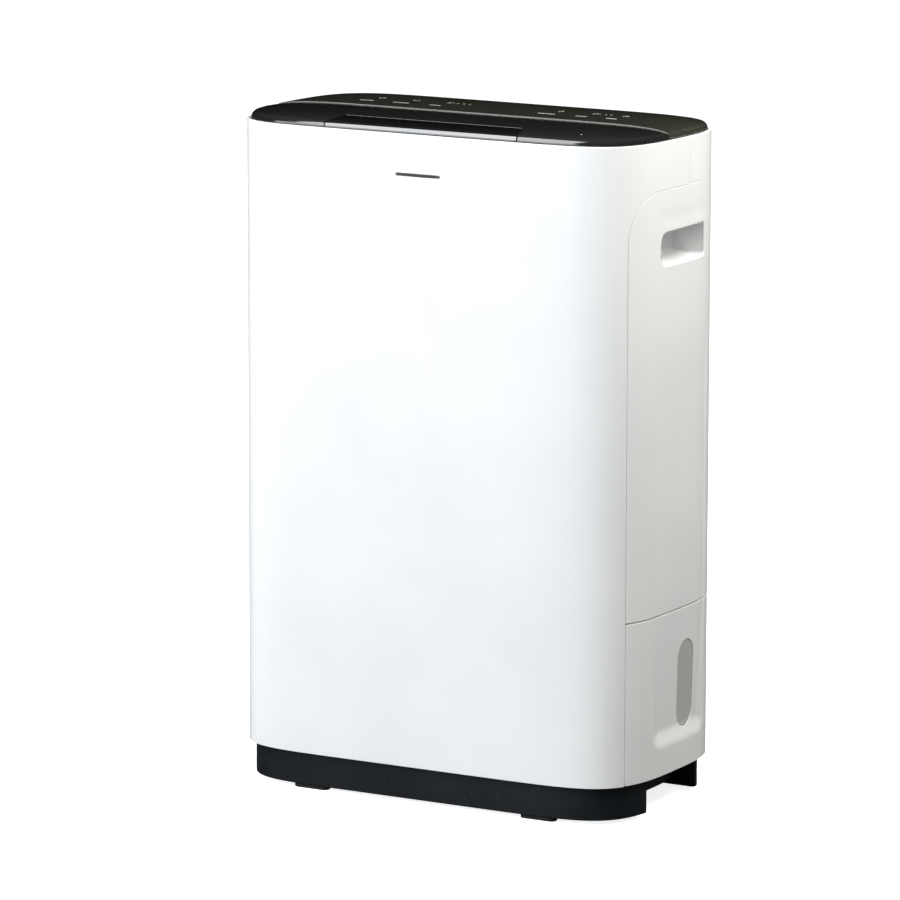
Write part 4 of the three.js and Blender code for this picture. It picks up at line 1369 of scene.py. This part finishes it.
# ---------------------------------------------------------------- carried-over CAD nodes
CARRIED = [
    (grey_plastic, ["chassis", "flap_motor", "blower_scroll_front", "blower_scroll_rear"]),
    (grey_plastic, ["outlet_duct", "drip_tray", "tank_switch", "humidity_sensor"]),
    (grey_plastic, ["electronics_box"]),
    (circuit_green, ["display_board", "main_board"]),
    (black_plastic, ["outlet_guard", "fan_wheel"]),
    (steel, ["fan_shaft", "fan_motor", *(f"base_screw_{i}" for i in range(1, 5))]),
    (aluminium, ["evaporator", "condenser"]),
    (copper, ["suction_pipe", "discharge_pipe", "capillary_tube"]),
    (enamel, ["accumulator", "compressor"]),
    (rubber, [f"compressor_mount_{i}" for i in range(1, 4)]),
    (foam, ["tank_float"]),
    (can_metal, ["run_capacitor"]),
]
WELD_DISTANCE = 0.00002
HARD_EDGE_DEGREES = 32


def dress(node, material):
    """Gives a CAD node its material, and smooth shading between its hard edges."""
    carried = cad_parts[node]
    carried.data.materials.clear()
    carried.data.materials.append(material)
    carried.data.polygons.foreach_set("use_smooth", [True] * len(carried.data.polygons))
    weld = carried.modifiers.new("weld", "WELD")
    weld.merge_threshold = WELD_DISTANCE
    split = carried.modifiers.new("hard_edges", "EDGE_SPLIT")
    split.split_angle = math.radians(HARD_EDGE_DEGREES)


for material, nodes in CARRIED:
    for node in nodes:
        dress(node, material)


# ---------------------------------------------------------------- floor, light and camera
FLOOR_REACH = 40
PAPER = (0.9, 0.9, 0.9)
PAPER_THROWN = 0.1
PAPER_GLOW = 0.85
SKY_COLOR = (0.95, 0.975, 1.0, 1)
SKY_LOW, SKY_HIGH = 0.006, 0.3
SKY_START = 0.25
SKY_MIRRORED = 0.2
SKY_SEEN = 1.06
COOL, NEUTRAL, WARM = (0.945, 0.97, 1.0), (1, 1, 1), (1, 1, 0.95)

# name, place, target, size, watts, colour, whether it shows in the gloss of the cap
LIGHTS = [
    ("key", (-0.7, -1.77, 2.03), (0, 0, 0.38), (1.6, 2.0), 71, COOL, True),
    ("front", (-1.6, -3.3, 0.9), (0, 0, 0.35), (3.6, 1.6), 72, COOL, True),
    ("side_high", (1.15, -0.1, 1.55), (0.1, 0, 0.5), (0.8, 0.8), 14, WARM, False),
    ("side_near", (0.7, 0.15, 1.35), (0.25, 0, 0.5), (0.5, 0.7), 13.5, WARM, False),
    ("left", (-3.2, 0.5, 1.6), (0, 0, 0.3), (1.6, 1.4), 45, NEUTRAL, False),
    ("back", (0.1, 3.4, 2.2), (0, 0, 0.3), (1.8, 1.4), 70, NEUTRAL, False),
]

CAMERA_PLACE = (2.6075, -4.6609, 1.3057)
CAMERA_AIM = (-0.48369, 0.85547, -0.18498)
CAMERA_ROLL_DEGREES = 0.122
CAMERA_LENS = 246.2


def lit_backdrop(material):
    """Paper lit up as it is seen, that throws only a little light back on to the casing."""
    seen = add_node(material, "LightPath").outputs["Is Camera Ray"]
    inputs = {"Factor": seen, "A": (*[PAPER_THROWN] * 3, 1), "B": (*PAPER, 1)}
    mix = add_node(material, "Mix", inputs, data_type="RGBA")
    glow = add_node(material, "Math", {0: seen, 1: PAPER_GLOW}, operation="MULTIPLY")
    feed(material, "Base Color", mix.outputs["Result"])
    feed(material, "Emission Strength", glow.outputs["Value"])
    shader_of(material).inputs["Emission Color"].default_value = (1, 1, 1, 1)


def add_floor():
    mesh = bpy.data.meshes.new("floor")
    corners = [(-1, -1, 0), (1, -1, 0), (1, 1, 0), (-1, 1, 0)]
    mesh.from_pydata((np.array(corners) * FLOOR_REACH).tolist(), [], [(0, 1, 2, 3)])
    floor = bpy.data.objects.new("floor", mesh)
    bpy.context.scene.collection.objects.link(floor)
    material = new_material("floor_paper", PAPER, 0.95, Specular_IOR_Level=0.0)
    lit_backdrop(material)
    mesh.materials.append(material)


def add_area_light(name, place, target, size, watts, color, mirrored):
    light = bpy.data.lights.new(name, "AREA")
    light.shape = "RECTANGLE"
    light.size, light.size_y = size
    light.energy = watts
    light.color = color
    holder = bpy.data.objects.new(name, light)
    holder.location = place
    direction = Vector(target) - Vector(place)
    holder.rotation_euler = direction.to_track_quat("-Z", "Y").to_euler()
    holder.visible_camera = False
    holder.visible_glossy = mirrored
    bpy.context.scene.collection.objects.link(holder)


def add_world():
    """A pale backdrop; the light from it comes mostly from overhead."""
    world = bpy.data.worlds.new("studio")
    world.use_nodes = True
    bpy.context.scene.world = world
    ray = add_node(world, "LightPath").outputs
    way = add_node(world, "TexCoord").outputs["Generated"]
    height = add_node(world, "SeparateXYZ", {"Vector": way}).outputs["Z"]
    inputs = {"Value": height, "From Min": SKY_START, "To Min": SKY_LOW, "To Max": SKY_HIGH}
    climb = add_node(world, "MapRange", inputs, interpolation_type="SMOOTHSTEP")
    inputs = {"Value": ray["Is Glossy Ray"], "To Min": 1.0, "To Max": SKY_MIRRORED}
    share = add_node(world, "MapRange", inputs)
    inputs = {0: climb.outputs["Result"], 1: share.outputs["Result"]}
    dimmed = add_node(world, "Math", inputs, operation="MULTIPLY")
    inputs = {"Factor": ray["Is Camera Ray"], "A": dimmed.outputs["Value"], "B": SKY_SEEN}
    strength = add_node(world, "Mix", inputs)
    background = world.node_tree.nodes["Background"]
    background.inputs["Color"].default_value = SKY_COLOR
    world.node_tree.links.new(strength.outputs["Result"], background.inputs["Strength"])


def add_camera():
    data = bpy.data.cameras.new("camera")
    data.sensor_width = 36
    data.lens = CAMERA_LENS
    data.clip_start, data.clip_end = 0.1, 200
    camera = bpy.data.objects.new("camera", data)
    camera.location = CAMERA_PLACE
    aim = Vector(CAMERA_AIM).to_track_quat("-Z", "Y")
    roll = Quaternion((0, 0, 1), math.radians(CAMERA_ROLL_DEGREES))
    camera.rotation_euler = (aim @ roll).to_euler()
    bpy.context.scene.collection.objects.link(camera)
    bpy.context.scene.camera = camera


add_floor()
for light in LIGHTS:
    add_area_light(*light)
add_world()
add_camera()
bpy.context.scene.view_settings.view_transform = "Standard"

bpy.context.view_layer.update()
